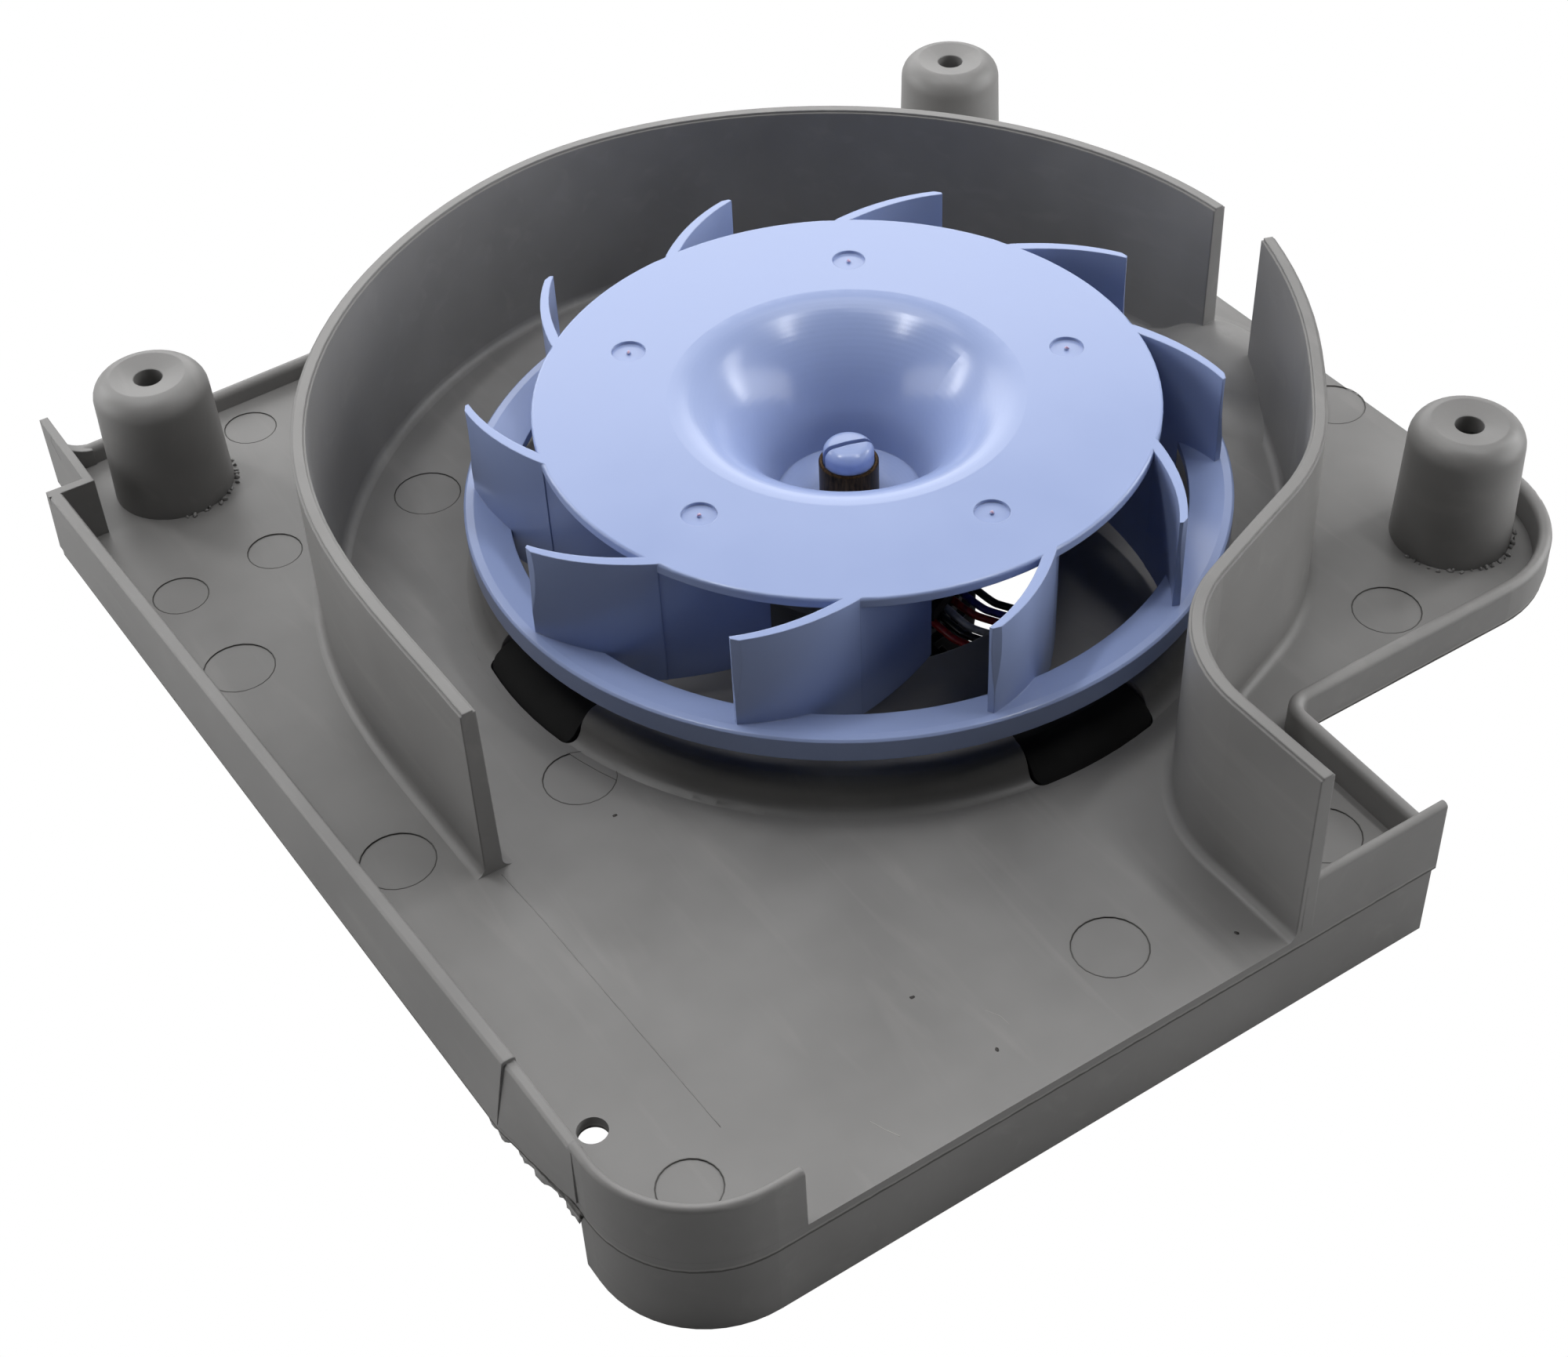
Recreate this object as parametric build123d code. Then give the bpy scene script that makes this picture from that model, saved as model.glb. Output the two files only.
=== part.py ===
from build123d import *
from math import cos, sin, radians
import os

os.makedirs("parts", exist_ok=True)

# Evaporator fan motor: a moulded scroll housing with a centrifugal impeller, driven from
# below by a small brushless motor. Millimetres. While building, the impeller axis is the
# Z axis and the housing floor's upper face is z = 0; the outlet faces -Y.

# Housing plate
floor_t = 2.5
left_x_back = -121.2
left_x_front = -117.7
left_y_back = 86.0
left_y_front = -80.0
corner_x = -115.0
corner_y = -98.0
corner_r = 20.0
front_y = -121.5
front_x_end = 33.3
notch_x = 34.5
notch_y = -85.0
right_x = 108.5
back_y_left = 107.9
back_y_mid = 112.6
back_bend_x = -20.0
inset_x = -114.0
lug_r = 25.0
lug_bulge = 2.1
lug_run = 16.0
edge_pad = (102.7, -20.2)
edge_pad_r = 6.3
skirt_depth = 17.5
skirt_t = 2.5
skirt_inset = 0.4
parting_z = -2.0

# Rims that stand up from the plate
tall_rim = 12.5
low_rim = 6.3
back_rim = 3.7
rim_t = 2.8
rim_proud = 0.3
lip_t = 1.9
inset_lip_t = 1.6
cross_wall_t = 1.8
thin_rim_drop = 0.6
gusset_run = 6.0
lip_tip_run = 3.4
lip_tip_z = 11.4
notch_round = 2.5
left_rim_top_t = 2.3
left_rim_slope = 2.1
corner_lip_end_x = -90.0
right_lip_start_x = 3.4

# Raised inlet platform under the impeller
platform_h = 5.0
shoulder_r = 71.5
platform_r = shoulder_r - 5.5
platform_foot = 1.5
inlet_r = 39.0

# Scroll walls
wall_h = 36.0
wall_t = 2.7
wall_step = 0.45
wall_foot = 1.8
wall_draft = 0.3
scroll_end_y = -35.0
hump_h = 9.6
hump_r = 26.0
hump_squash = 0.62
hump_x = 91.5

# Screw bosses
boss_h = 25.8
boss_r_top = 10.7
boss_r_base = 11.3
boss_round = 4.2
boss_wall = 2.4
dish_r = 7.2
dish_depth = 0.8
boss_hole_r = 2.7
boss_roof = 3.5
boss_pad = 12.0
left_boss = (-96.2, 91.0)
back_boss = (94.1, 98.6)
right_boss = (93.5, -62.3)
locating_hole = (-107.0, -89.3)
locating_hole_r = 2.45
corner_panel = (-112.0, -98.0, -97.0, -82.5)

# Impeller
disc_z = 35.2
disc_r = 56.0
disc_t = 1.8
ring_r = 70.0
eye_r = 62.0
ring_t = 1.6
ring_top = 16.9
ring_dip = 1.6
flange_h = 4.4
blade_count = 10
blade_phase = 3.4
blade_foot_z = 9.2
bowl_r = 32.0
bowl_floor_z = 12.5
bowl_floor_r = 13.4
gate_r = 3.1
gate_ring_r = 41.8
gate_phase = 55.4
gate_depth = 0.6
stub_r = 4.7
stub_top = 23.6
stub_slot = 1.0
stub_round = 1.9
stub_slot_angle = -15.0
hub_r = 6.5
hub_bottom = 7.5
sleeve_r = 5.5
sleeve_top = 20.0
sleeve_gap = 0.04

# Motor
shaft_r = 1.585
bore_gap = 0.015
bush_gap = 0.03
shaft_bottom = -14.55
shaft_top = 20.8
case_r = 21.5
case_wall = 1.2
case_bottom = -16.4
case_split = -1.0
case_top = 1.0
neck_r = 6.4
neck_top = 3.6
bush_r = 4.0
fit_gap = 0.05
stack_bottom = -11.0
stack_top = -6.0
stator_r = 20.0
magnet_r = 8.5
air_gap = 0.35
tooth_count = 6
tooth_w = 3.2
yoke_w = 2.2
core_r = 5.0
board_z = -2.9
board_t = 1.0
ear_r = 3.4
ear_ring_r = 24.4
ear_phase = 45.0
pilot_r = 1.25
screw_r = 1.2

# Motor bracket, feet and their windows in the platform
arm_count = 4
arm_phase = 2.5
window_half = 11.0
window_in = shoulder_r - 13.5
window_out = shoulder_r + 0.4
foot_gap = 0.35
post_ring_r = window_in - 7.0
post_r = 3.2
arm_w = 7.0
arm_z = -14.0
arm_t = 3.0
seat_z = -4.0
seat_t = 2.4

# Leads
wire_r = 0.75
wire_z = -4.3

origin = (left_boss[0], left_boss[1], boss_h - dish_depth)


def save(name, shape):
    export_step(Pos(-origin[0], -origin[1], -origin[2]) * shape, "parts/" + name + ".step")


def polar(r, deg, z=0.0):
    return (r * cos(radians(deg)), r * sin(radians(deg)), z)


def turned(section):
    # Revolve a section drawn as (radius, height) about the Z axis.
    return revolve(Plane.XZ * section, Axis.Z)


def column(r, z0, z1):
    return Pos(0, 0, z0) * extrude(Circle(r), amount=z1 - z0)


def tube(r_out, r_in, z0, z1):
    return Pos(0, 0, z0) * extrude(Circle(r_out) - Circle(r_in), amount=z1 - z0)


def block(x0, x1, y0, y1, z0, z1):
    return Pos((x0 + x1) / 2, (y0 + y1) / 2, (z0 + z1) / 2) * Box(x1 - x0, y1 - y0, z1 - z0)


def raised(face, z0, z1):
    return Pos(0, 0, z0) * extrude(face, amount=z1 - z0)


# Scroll housing: plate outline, walked anticlockwise from the left rim's back end
corner_c = (corner_x + corner_r, front_y + corner_r)
lug_c = (right_x + lug_bulge - lug_r, notch_y + lug_r)
back_r = right_x - back_boss[0] + 1.0
back_c = (back_boss[0], back_y_mid - back_r)
diag = cos(radians(45))
outline = Line((left_x_back, left_y_back), (left_x_front, left_y_front))
outline += Line((left_x_front, left_y_front), (corner_x, corner_y))
outline += Line((corner_x, corner_y), (corner_x, corner_c[1]))
outline += ThreePointArc(
    (corner_x, corner_c[1]),
    (corner_c[0] - corner_r * diag, corner_c[1] - corner_r * diag),
    (corner_c[0], front_y),
)
outline += Line((corner_c[0], front_y), (front_x_end, front_y))
outline += Line((front_x_end, front_y), (notch_x, notch_y - notch_round))
outline += TangentArc((notch_x, notch_y - notch_round), (notch_x + notch_round, notch_y), tangent=(0, 1))
outline += Line((notch_x + notch_round, notch_y), (lug_c[0], notch_y))
outline += ThreePointArc(
    (lug_c[0], notch_y),
    (lug_c[0] + lug_r * diag, lug_c[1] - lug_r * diag),
    (lug_c[0] + lug_r, lug_c[1]),
)
outline += Line((lug_c[0] + lug_r, lug_c[1]), (right_x, lug_c[1] + lug_run))
outline += Line((right_x, lug_c[1] + lug_run), (right_x, back_c[1] - lug_run))
outline += Line((right_x, back_c[1] - lug_run), (back_c[0] + back_r, back_c[1]))
outline += ThreePointArc(
    (back_c[0] + back_r, back_c[1]),
    (back_c[0] + back_r * diag, back_c[1] + back_r * diag),
    (back_c[0], back_y_mid),
)
outline += Line((back_c[0], back_y_mid), (back_bend_x, back_y_mid))
outline += Line((back_bend_x, back_y_mid), (inset_x, back_y_left))
outline += Line((inset_x, back_y_left), (inset_x, left_y_back))
outline += Line((inset_x, left_y_back), (left_x_back, left_y_back))
slab = raised(make_face(outline), -floor_t, 0) + Pos(edge_pad[0], edge_pad[1], 0) * column(edge_pad_r, -floor_t, 0)
slab -= column(shoulder_r + platform_foot, -floor_t - 1, 1)

# Inlet platform with a rounded shoulder, turned in one section
shoulder = Polyline(
    (shoulder_r + platform_foot, 0),
    (shoulder_r, 0),
)
shoulder += ThreePointArc((shoulder_r, 0), (shoulder_r - 1.6, 0.7), (shoulder_r - 2.6, 2.2))
shoulder += ThreePointArc(
    (shoulder_r - 2.6, 2.2), (shoulder_r - 3.7, platform_h - 0.9), (platform_r, platform_h)
)
shoulder += Line((platform_r, platform_h), (inlet_r + 0.8, platform_h))
shoulder += ThreePointArc(
    (inlet_r + 0.8, platform_h), (inlet_r + 0.25, platform_h - 0.25), (inlet_r, platform_h - 0.8)
)
shoulder += Polyline(
    (inlet_r, platform_h - 0.8),
    (inlet_r, platform_h - floor_t),
    (platform_r - 0.5, platform_h - floor_t),
    (shoulder_r - 3.5, -floor_t),
    (shoulder_r + platform_foot, -floor_t),
    (shoulder_r + platform_foot, 0),
)
platform = turned(make_face(shoulder))

# Scroll wall and cut-off wall, each drawn as a centreline with few points
scroll_line = Spline(
    (-94.1, scroll_end_y),
    (-94.6, -8.0),
    (-93.4, 17.0),
    (-86.6, 42.0),
    (-68.6, 69.0),
    (-40.4, 90.0),
    (-3.6, 100.2),
    (35.0, 91.3),
    (68.0, 66.6),
    (86.4, 35.5),
    (91.9, 6.5),
)


def arc_chain(start, heading, stops):
    # Arcs that run tangent into one another through the given stops.
    chain = TangentArc(start, stops[0], tangent=heading)
    last = chain
    for stop in stops[1:]:
        last = TangentArc(last @ 1, stop, tangent=last % 1)
        chain += last
    return chain


cut_line = Line((4.1, front_y), (4.1, -101.0))
cut_line += arc_chain((4.1, -101.0), (0, 1), [(21.0, -76.0), (44.0, -67.2), (63.3, -54.1), (75.6, -39.0), (92.5, -7.0)])


def swept(section, line):
    # Sweep an upright section along a line, starting square to it.
    heading = line % 0
    across = Plane(origin=line @ 0, x_dir=(heading.Y, -heading.X, 0), z_dir=-heading)
    return sweep(across * section, path=line)


def wall(line):
    # The whole wall is one section: foot radii on the floor, draft and a stepped crown.
    top_half = wall_t / 2
    low_half = top_half + wall_draft
    foot_mid = wall_foot * (1 - diag)
    half = Line((0, 0), (low_half + wall_foot, 0))
    half += ThreePointArc((low_half + wall_foot, 0), (low_half + foot_mid, foot_mid), (low_half, wall_foot))
    half += Polyline(
        (low_half, wall_foot),
        (top_half, wall_h - wall_step),
        (top_half - wall_step, wall_h - wall_step),
        (top_half - wall_step, wall_h),
        (0, wall_h),
        (0, 0),
    )
    side = make_face(half)
    return swept(side + mirror(side, Plane.YZ), line)


def rim(line, width, height, foot):
    # A rim with a drafted, fully rounded section.
    half_w = width / 2
    crown = half_w - 0.1
    profile = Polyline((-crown, height - crown), (-half_w, foot), (half_w, foot), (crown, height - crown))
    profile += ThreePointArc((crown, height - crown), (0, height), (-crown, height - crown))
    return swept(make_face(profile), line)


# Smooth hump of the floor between the two wall ends
hump = Line((0, 0), (0, hump_h))
hump += ThreePointArc((0, hump_h), (hump_r * 0.32, hump_h * 0.86), (hump_r * 0.55, hump_h * 0.5))
hump += ThreePointArc((hump_r * 0.55, hump_h * 0.5), (hump_r * 0.76, hump_h * 0.14), (hump_r, 0))
hump += Line((hump_r, 0), (0, 0))
hump = scale(turned(make_face(hump)), by=(hump_squash, 1, 1))
hump = Pos(hump_x, 0, 0) * hump


# Left rim: its outer face is upright at the back and leans outwards more and more to the front
def rim_section(y, x_out, slope, top_t, top):
    x_foot = x_out - rim_proud
    x_top = x_out + slope
    points = Polyline(
        (x_foot, -rim_proud),
        (x_top, top - 0.4),
        (x_top + 0.4, top),
        (x_top + top_t - 0.3, top),
        (x_top + top_t, top - 0.3),
        (x_top + top_t, -rim_proud),
        (x_foot, -rim_proud),
    )
    return Plane(origin=(0, y, 0), x_dir=(1, 0, 0), z_dir=(0, -1, 0)) * make_face(points)


left_rim = loft([
    rim_section(left_y_back, left_x_back, 0.1, left_rim_top_t, tall_rim),
    rim_section(left_y_front, left_x_front, left_rim_slope, left_rim_top_t, tall_rim),
])

# Thinner front end of the left rim, a shade lower, closing in to the corner lip
thin_top = tall_rim - thin_rim_drop
thin_rim = loft([
    rim_section(left_y_front + 0.5, left_x_front, left_rim_slope + 0.3, lip_t, thin_top),
    rim_section(corner_y - 1.0, corner_x, 0.05, lip_t, thin_top),
])

# Transverse wall and stepped-in lip at the left rim's back end
inset_in = inset_x + inset_lip_t
cross_wall = block(left_x_back + 0.1, inset_in, left_y_back - cross_wall_t, left_y_back, -rim_proud, tall_rim)
inset_lip = block(inset_x, inset_in, left_y_back - 1.0, back_y_left, -rim_proud, tall_rim)
gusset_section = Line((inset_x, -rim_proud), (inset_x, tall_rim)) + Line((inset_x, tall_rim), (inset_in - 0.5, tall_rim))
gusset_section += ThreePointArc(
    (inset_in - 0.5, tall_rim),
    (inset_in + gusset_run * 0.25, back_rim + (tall_rim - back_rim) * 0.22),
    (inset_in + gusset_run, back_rim - 0.3),
)
gusset_section += Polyline((inset_in + gusset_run, back_rim - 0.3), (inset_in + gusset_run, -rim_proud), (inset_x, -rim_proud))
gusset = extrude(Plane.XZ * make_face(gusset_section), amount=rim_t - 0.3)
gusset = Pos(0, back_y_left, 0) * gusset
lip_tip = block(inset_x - 1, inset_in + 0.01, back_y_left - lip_tip_run, back_y_left + 1, lip_tip_z, tall_rim + 1)
inset_lip = inset_lip + gusset - Pos(0, back_y_left, 0) * Rot(30, 0, 0) * Pos(0, -back_y_left, 0) * lip_tip

# Low rounded rims along the back edge and round the right lug
rim_in = rim_t / 2 - rim_proud
back_line = FilletPolyline(
    (inset_x + 1.0, back_y_left - rim_in),
    (back_bend_x, back_y_mid - rim_in),
    (back_c[0], back_y_mid - rim_in),
    radius=60,
)
back_in = back_r - rim_in
back_line += ThreePointArc(
    (back_c[0], back_y_mid - rim_in),
    (back_c[0] + back_in * diag, back_c[1] + back_in * diag),
    (back_c[0] + back_in, back_c[1]),
)
lug_in = lug_r - rim_in
lug_line = FilletPolyline(
    (front_x_end - rim_in, front_y + lip_t / 2),
    (notch_x - rim_in, notch_y + rim_in),
    (lug_c[0], notch_y + rim_in),
    radius=notch_round + rim_in,
)
lug_line += ThreePointArc(
    (lug_c[0], notch_y + rim_in),
    (lug_c[0] + lug_in * diag, lug_c[1] - lug_in * diag),
    (lug_c[0] + lug_in, lug_c[1]),
)

# Corner lip and right-hand lip on the outlet edge, and the skirt below them
corner_mid = corner_r - lip_t / 2
corner_line = Line((corner_x + lip_t / 2, corner_y), (corner_x + lip_t / 2, corner_c[1]))
corner_line += ThreePointArc(
    (corner_x + lip_t / 2, corner_c[1]),
    (corner_c[0] - corner_mid * diag, corner_c[1] - corner_mid * diag),
    (corner_c[0], front_y + lip_t / 2),
)
corner_line += Line((corner_c[0], front_y + lip_t / 2), (corner_lip_end_x, front_y + lip_t / 2))
corner_lip = rim(corner_line, lip_t, tall_rim, -floor_t / 2)
right_lip_line = Line((right_lip_start_x, front_y + lip_t / 2), (front_x_end, front_y + lip_t / 2))
right_lip = rim(right_lip_line, lip_t, tall_rim, -floor_t / 2)

skirt_in = skirt_inset + skirt_t / 2
skirt_mid = corner_r - skirt_in
skirt_line = Line((corner_x + skirt_in, corner_y), (corner_x + skirt_in, corner_c[1]))
skirt_line += ThreePointArc(
    (corner_x + skirt_in, corner_c[1]),
    (corner_c[0] - skirt_mid * diag, corner_c[1] - skirt_mid * diag),
    (corner_c[0], front_y + skirt_in),
)
skirt_line += Line((corner_c[0], front_y + skirt_in), (front_x_end - skirt_inset, front_y + skirt_in))
skirt = raised(trace(skirt_line, skirt_t), -skirt_depth, parting_z)
return_x = front_x_end - skirt_inset
skirt_return = block(return_x - skirt_t, return_x, front_y + skirt_inset, notch_y - 4, -skirt_depth, parting_z)

# Screw bosses: hollow from below, rounded on top, with a dished seat
boss_seat = boss_h - dish_depth
boss_in_r = boss_r_base - boss_wall
boss_out = Polyline((0, 0), (boss_r_base, 0), (boss_r_top, boss_h - boss_round))
boss_out += ThreePointArc(
    (boss_r_top, boss_h - boss_round),
    (boss_r_top - boss_round * (1 - diag), boss_h - boss_round * (1 - diag)),
    (boss_r_top - boss_round, boss_h),
)
boss_out += Polyline((boss_r_top - boss_round, boss_h), (0, boss_h), (0, 0))
boss_core = Polyline(
    (0, 0),
    (boss_in_r, 0),
    (boss_r_top - boss_wall, boss_seat - boss_roof - 1),
    (boss_r_top - boss_wall - 1, boss_seat - boss_roof),
    (0, boss_seat - boss_roof),
    (0, 0),
)
seat_dish = Polyline((0, boss_seat), (boss_hole_r, boss_seat), (dish_r, boss_h + 0.01), (0, boss_h + 0.01), (0, boss_seat))
boss = turned(make_face(boss_out)) - turned(make_face(boss_core))
boss -= turned(make_face(seat_dish)) + column(boss_hole_r, 0, boss_h)

# Posts under the platform for the bracket's screws
post_spots = [Rot(0, 0, arm_phase + k * 360 / arm_count) * Pos(post_ring_r, 0, 0) for k in range(arm_count)]

# Windows through the platform's shoulder for the motor's feet
window_arc = Line(polar(window_in, -window_half), polar(window_out, -window_half))
window_arc += ThreePointArc(
    polar(window_out, -window_half), (window_out, 0, 0), polar(window_out, window_half)
)
window_arc += Line(polar(window_out, window_half), polar(window_in, window_half))
window_arc += ThreePointArc(
    polar(window_in, window_half), (window_in, 0, 0), polar(window_in, -window_half)
)
window_face = make_face(window_arc)
window_face = fillet(window_face.vertices(), 2.2)
window = raised(window_face, -floor_t - 2, platform_h + 1)
windows = [Rot(0, 0, arm_phase + k * 360 / arm_count) * window for k in range(arm_count)]

# Ejector-pin marks left by the mould in the floor
large_pin = edge_pad_r
small_pin = 5.05
pin_mark_depth = 0.15
large_marks = [(-107.9, 34.8), (-106.0, -23.7), (-72.1, -24.3), (-57.8, 59.7), (-22.3, -105.6),
               (68.7, -71.8), (21.7, -107.0), edge_pad]
small_marks = [(-89.1, 60.9), (-108.6, 59.2), (-77.0, 98.8), (-100.5, -106.2)]
marks = [Pos(x, y, 0) * column(large_pin, -pin_mark_depth, 0.5) for x, y in large_marks]
marks += [Pos(x, y, 0) * column(small_pin, -pin_mark_depth, 0.5) for x, y in small_marks]

# Ribs under the floor that hold the lead's plug
plug_x = 20.0
plug_y = -103.0
plug_w = 17.0
plug_l = 12.0
plug_h = 6.0
plug_gap = 0.2
plug_top = -floor_t - plug_gap
rib_t = 1.8
hook_t = 1.4
hook_reach = 1.0
hook_half = 3.0
hook_z = plug_top - plug_h - plug_gap
plug_ribs = []
for side in (-1, 1):
    rib_x = plug_x + side * (plug_w / 2 + plug_gap + rib_t / 2)
    hook_x = plug_x + side * plug_w / 2
    rib = block(rib_x - rib_t / 2, rib_x + rib_t / 2, plug_y - plug_l / 2, plug_y + plug_l / 2, hook_z - hook_t, -1)
    hook = block(hook_x - hook_reach, hook_x + hook_reach, plug_y - hook_half, plug_y + hook_half, hook_z - hook_t, hook_z)
    plug_ribs.append(rib + hook)

# The moulding is kept as abutting solids, divided where its walls, rims, skirt, bosses and inlet
# platform meet the plate
left_rims = left_rim + thin_rim + cross_wall + inset_lip + corner_lip - slab
back_rims = rim(back_line, rim_t, back_rim, -rim_proud) - slab - left_rims
right_rims = rim(lug_line, rim_t, low_rim, -rim_proud) + right_lip - slab
skirt_body = skirt + skirt_return - slab
scroll_wall = wall(scroll_line) - hump
cut_wall = wall(cut_line) - hump - right_lip
pieces = [hump, left_rims, back_rims, right_rims, skirt_body, scroll_wall, cut_wall]
pieces += [plug_rib - slab - skirt_body for plug_rib in plug_ribs]

# The platform carries the bracket's posts and the windows, and is divided in quarters between them
for spot in post_spots:
    platform += spot * column(post_r, seat_z, platform_h - 1)
    platform -= spot * column(pilot_r, seat_z - 1, platform_h - 1.2)
for one in windows:
    platform -= one
quarter = block(0, shoulder_r + 5, 0, shoulder_r + 5, seat_z - 1, platform_h + 1)
for k in range(arm_count):
    pieces.append(platform & (Rot(0, 0, arm_phase + (k + 0.5) * 360 / arm_count) * quarter))

# Square pads of the plate under the bosses, and the panel round the locating hole
plate = slab
pad = block(-boss_pad, boss_pad, -boss_pad, boss_pad, -floor_t, 0)
for x, y in [left_boss, back_boss, right_boss]:
    pieces.append(slab & (Pos(x, y, 0) * pad) - Pos(x, y, 0) * column(boss_in_r, -floor_t - 1, 1))
    pieces.append(Pos(x, y, 0) * boss)
    plate -= Pos(x, y, 0) * pad
panel_x0, panel_x1, panel_y0, panel_y1 = corner_panel
panel = block(panel_x0, panel_x1, panel_y0, panel_y1, -floor_t, 0)
plate -= panel
pieces.append(panel - Pos(locating_hole[0], locating_hole[1], 0) * column(locating_hole_r, -floor_t - 1, 1))
for one in marks:
    plate -= one
pieces.append(plate)
housing = Compound(children=[solid for piece in pieces for solid in piece.solids()])
print("housing solids", [len(piece.solids()) for piece in pieces], "volume", round(housing.volume))
save("scroll_housing", housing)


# Impeller: disc with a trumpet bowl, backward-curved blades and a lower ring
def trumpet(dx, dz):
    # The bowl's wall from the disc down to its floor, moved outwards and down for the underside.
    return Spline(
        (bowl_r + dx, disc_z + dz),
        (bowl_r - 7.0 + dx, disc_z - 2.6 + dz),
        (bowl_r - 12.6 + dx, disc_z - 8.6 + dz),
        (bowl_r - 16.4 + dx, disc_z - 15.4 + dz),
        (bowl_floor_r + dx, bowl_floor_z + dz),
        tangents=[(-1, 0), (-0.2, -1)],
    )


bowl_under = 1.7
edge_round = 0.5
disc_section = Line((disc_r - edge_round, disc_z), (bowl_r, disc_z))
disc_section += trumpet(0, 0)
disc_section += Polyline(
    (bowl_floor_r, bowl_floor_z),
    (stub_r, bowl_floor_z),
    (stub_r, stub_top - stub_round),
)
stub_mid = stub_round * (1 - diag)
disc_section += ThreePointArc(
    (stub_r, stub_top - stub_round), (stub_r - stub_mid, stub_top - stub_mid), (stub_r - stub_round, stub_top)
)
disc_section += Polyline(
    (stub_r - stub_round, stub_top),
    (0, stub_top + 0.2),
    (0, hub_bottom),
    (hub_r, hub_bottom),
    (hub_r + 0.2, bowl_floor_z - disc_t),
    (bowl_floor_r + bowl_under, bowl_floor_z - disc_t),
)
disc_section += trumpet(bowl_under, -disc_t)
disc_section += Polyline(
    (bowl_r + bowl_under, disc_z - disc_t),
    (disc_r, disc_z - disc_t),
    (disc_r, disc_z - edge_round),
)
edge_mid = edge_round * (1 - diag)
disc_section += ThreePointArc(
    (disc_r, disc_z - edge_round), (disc_r - edge_mid, disc_z - edge_mid), (disc_r - edge_round, disc_z)
)
disc = turned(make_face(disc_section))

ring_land = 1.8
ring_bevel = 0.4
ring_section = Polyline(
    (eye_r, ring_top - ring_dip),
    (ring_r - ring_land, ring_top),
    (ring_r - ring_bevel, ring_top),
    (ring_r, ring_top - ring_bevel),
    (ring_r, ring_top - flange_h),
    (ring_r - ring_t, ring_top - flange_h),
    (ring_r - ring_t, ring_top - ring_t - 0.3),
    (eye_r, ring_top - ring_dip - ring_t),
    (eye_r, ring_top - ring_dip),
)
ring = turned(make_face(ring_section))

# One blade in plan: stations of radius, sweep angle and thickness
stations = [(67.6, 0.5, 1.3), (62.2, 8.8, 1.7), (55.9, 17.0, 2.0), (43.6, 34.6, 1.4)]


def blade_side(side, thinner):
    points = []
    for k in range(len(stations)):
        here = Vector(*polar(stations[k][0], stations[k][1]))
        before = Vector(*polar(*stations[max(k - 1, 0)][:2]))
        after = Vector(*polar(*stations[min(k + 1, len(stations) - 1)][:2]))
        along = (after - before).normalized()
        across = Vector(-along.Y, along.X, 0)
        points.append(here + across * (side * (stations[k][2] - thinner) / 2))
    return points


def blade_body(thinner):
    outer_side = blade_side(1, thinner)
    inner_side = blade_side(-1, thinner)
    plan = Spline(*outer_side)
    plan += Line(outer_side[-1], inner_side[-1])
    plan += Spline(*inner_side)
    plan += Line(inner_side[0], outer_side[0])
    return raised(make_face(plan), blade_foot_z, disc_z)


# Envelope that trims the blades: raked outer edge, ring below, bowl inside
blade_in = 38.0
blade_in_z = blade_foot_z + 1.2
blade_eye_z = blade_foot_z - 0.4
ring_sink = 0.6
blade_foot_r = ring_r - 1.1
blade_tip_r = ring_r - 2.4
envelope = Polyline(
    (blade_in, blade_in_z),
    (eye_r, blade_eye_z),
    (eye_r, ring_top - ring_dip - ring_sink),
    (blade_foot_r - 0.5, ring_top - ring_sink),
    (blade_foot_r, ring_top),
)
envelope += ThreePointArc((blade_foot_r, ring_top), (blade_tip_r + 0.1, 26.0), (blade_tip_r, disc_z))
envelope += Polyline((blade_tip_r, disc_z), (blade_in, disc_z), (blade_in, blade_in_z))
envelope_body = turned(make_face(envelope))

# Inside the disc's edge the other half of the mould makes the blade, a little thinner
shutoff_step = 0.24
blade = blade_body(0) & envelope_body & tube(ring_r + 1, disc_r - 0.1, 0, disc_z)
blade += blade_body(shutoff_step) & envelope_body & column(disc_r, 0, disc_z)
impeller = disc + ring
for k in range(blade_count):
    impeller += Rot(0, 0, blade_phase + k * 360 / blade_count) * blade

gate_count = 5
gate_pip_r = 0.4
gate_pip_drop = 0.25
gate = column(gate_r, disc_z - gate_depth, disc_z + 1) - column(gate_pip_r, disc_z - gate_depth, disc_z - gate_pip_drop)
for k in range(gate_count):
    impeller -= Rot(0, 0, gate_phase + k * 360 / gate_count) * Pos(gate_ring_r, 0, 0) * gate
bore = column(shaft_r + bore_gap, hub_bottom - 1, shaft_top + 0.6)
slot = block(-stub_r - 1, stub_r + 1, -stub_slot / 2, stub_slot / 2, bowl_floor_z + 1, stub_top + 1)
slot = Rot(0, 0, stub_slot_angle) * slot
impeller -= bore
impeller -= slot
print("impeller solids", len(impeller.solids()))
save("impeller", impeller)

# Clamp sleeve over the split stub
sleeve_in = stub_r + sleeve_gap
sleeve_bottom = bowl_floor_z + 0.1
sleeve_bevel = 0.25
sleeve_section = Polyline(
    (sleeve_in, sleeve_bottom),
    (sleeve_r, sleeve_bottom),
    (sleeve_r, sleeve_top - sleeve_bevel),
    (sleeve_r - sleeve_bevel, sleeve_top),
    (sleeve_in + 0.15, sleeve_top),
    (sleeve_in, sleeve_top - 0.15),
    (sleeve_in, sleeve_bottom),
)
save("clamp_sleeve", turned(make_face(sleeve_section)))

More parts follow.
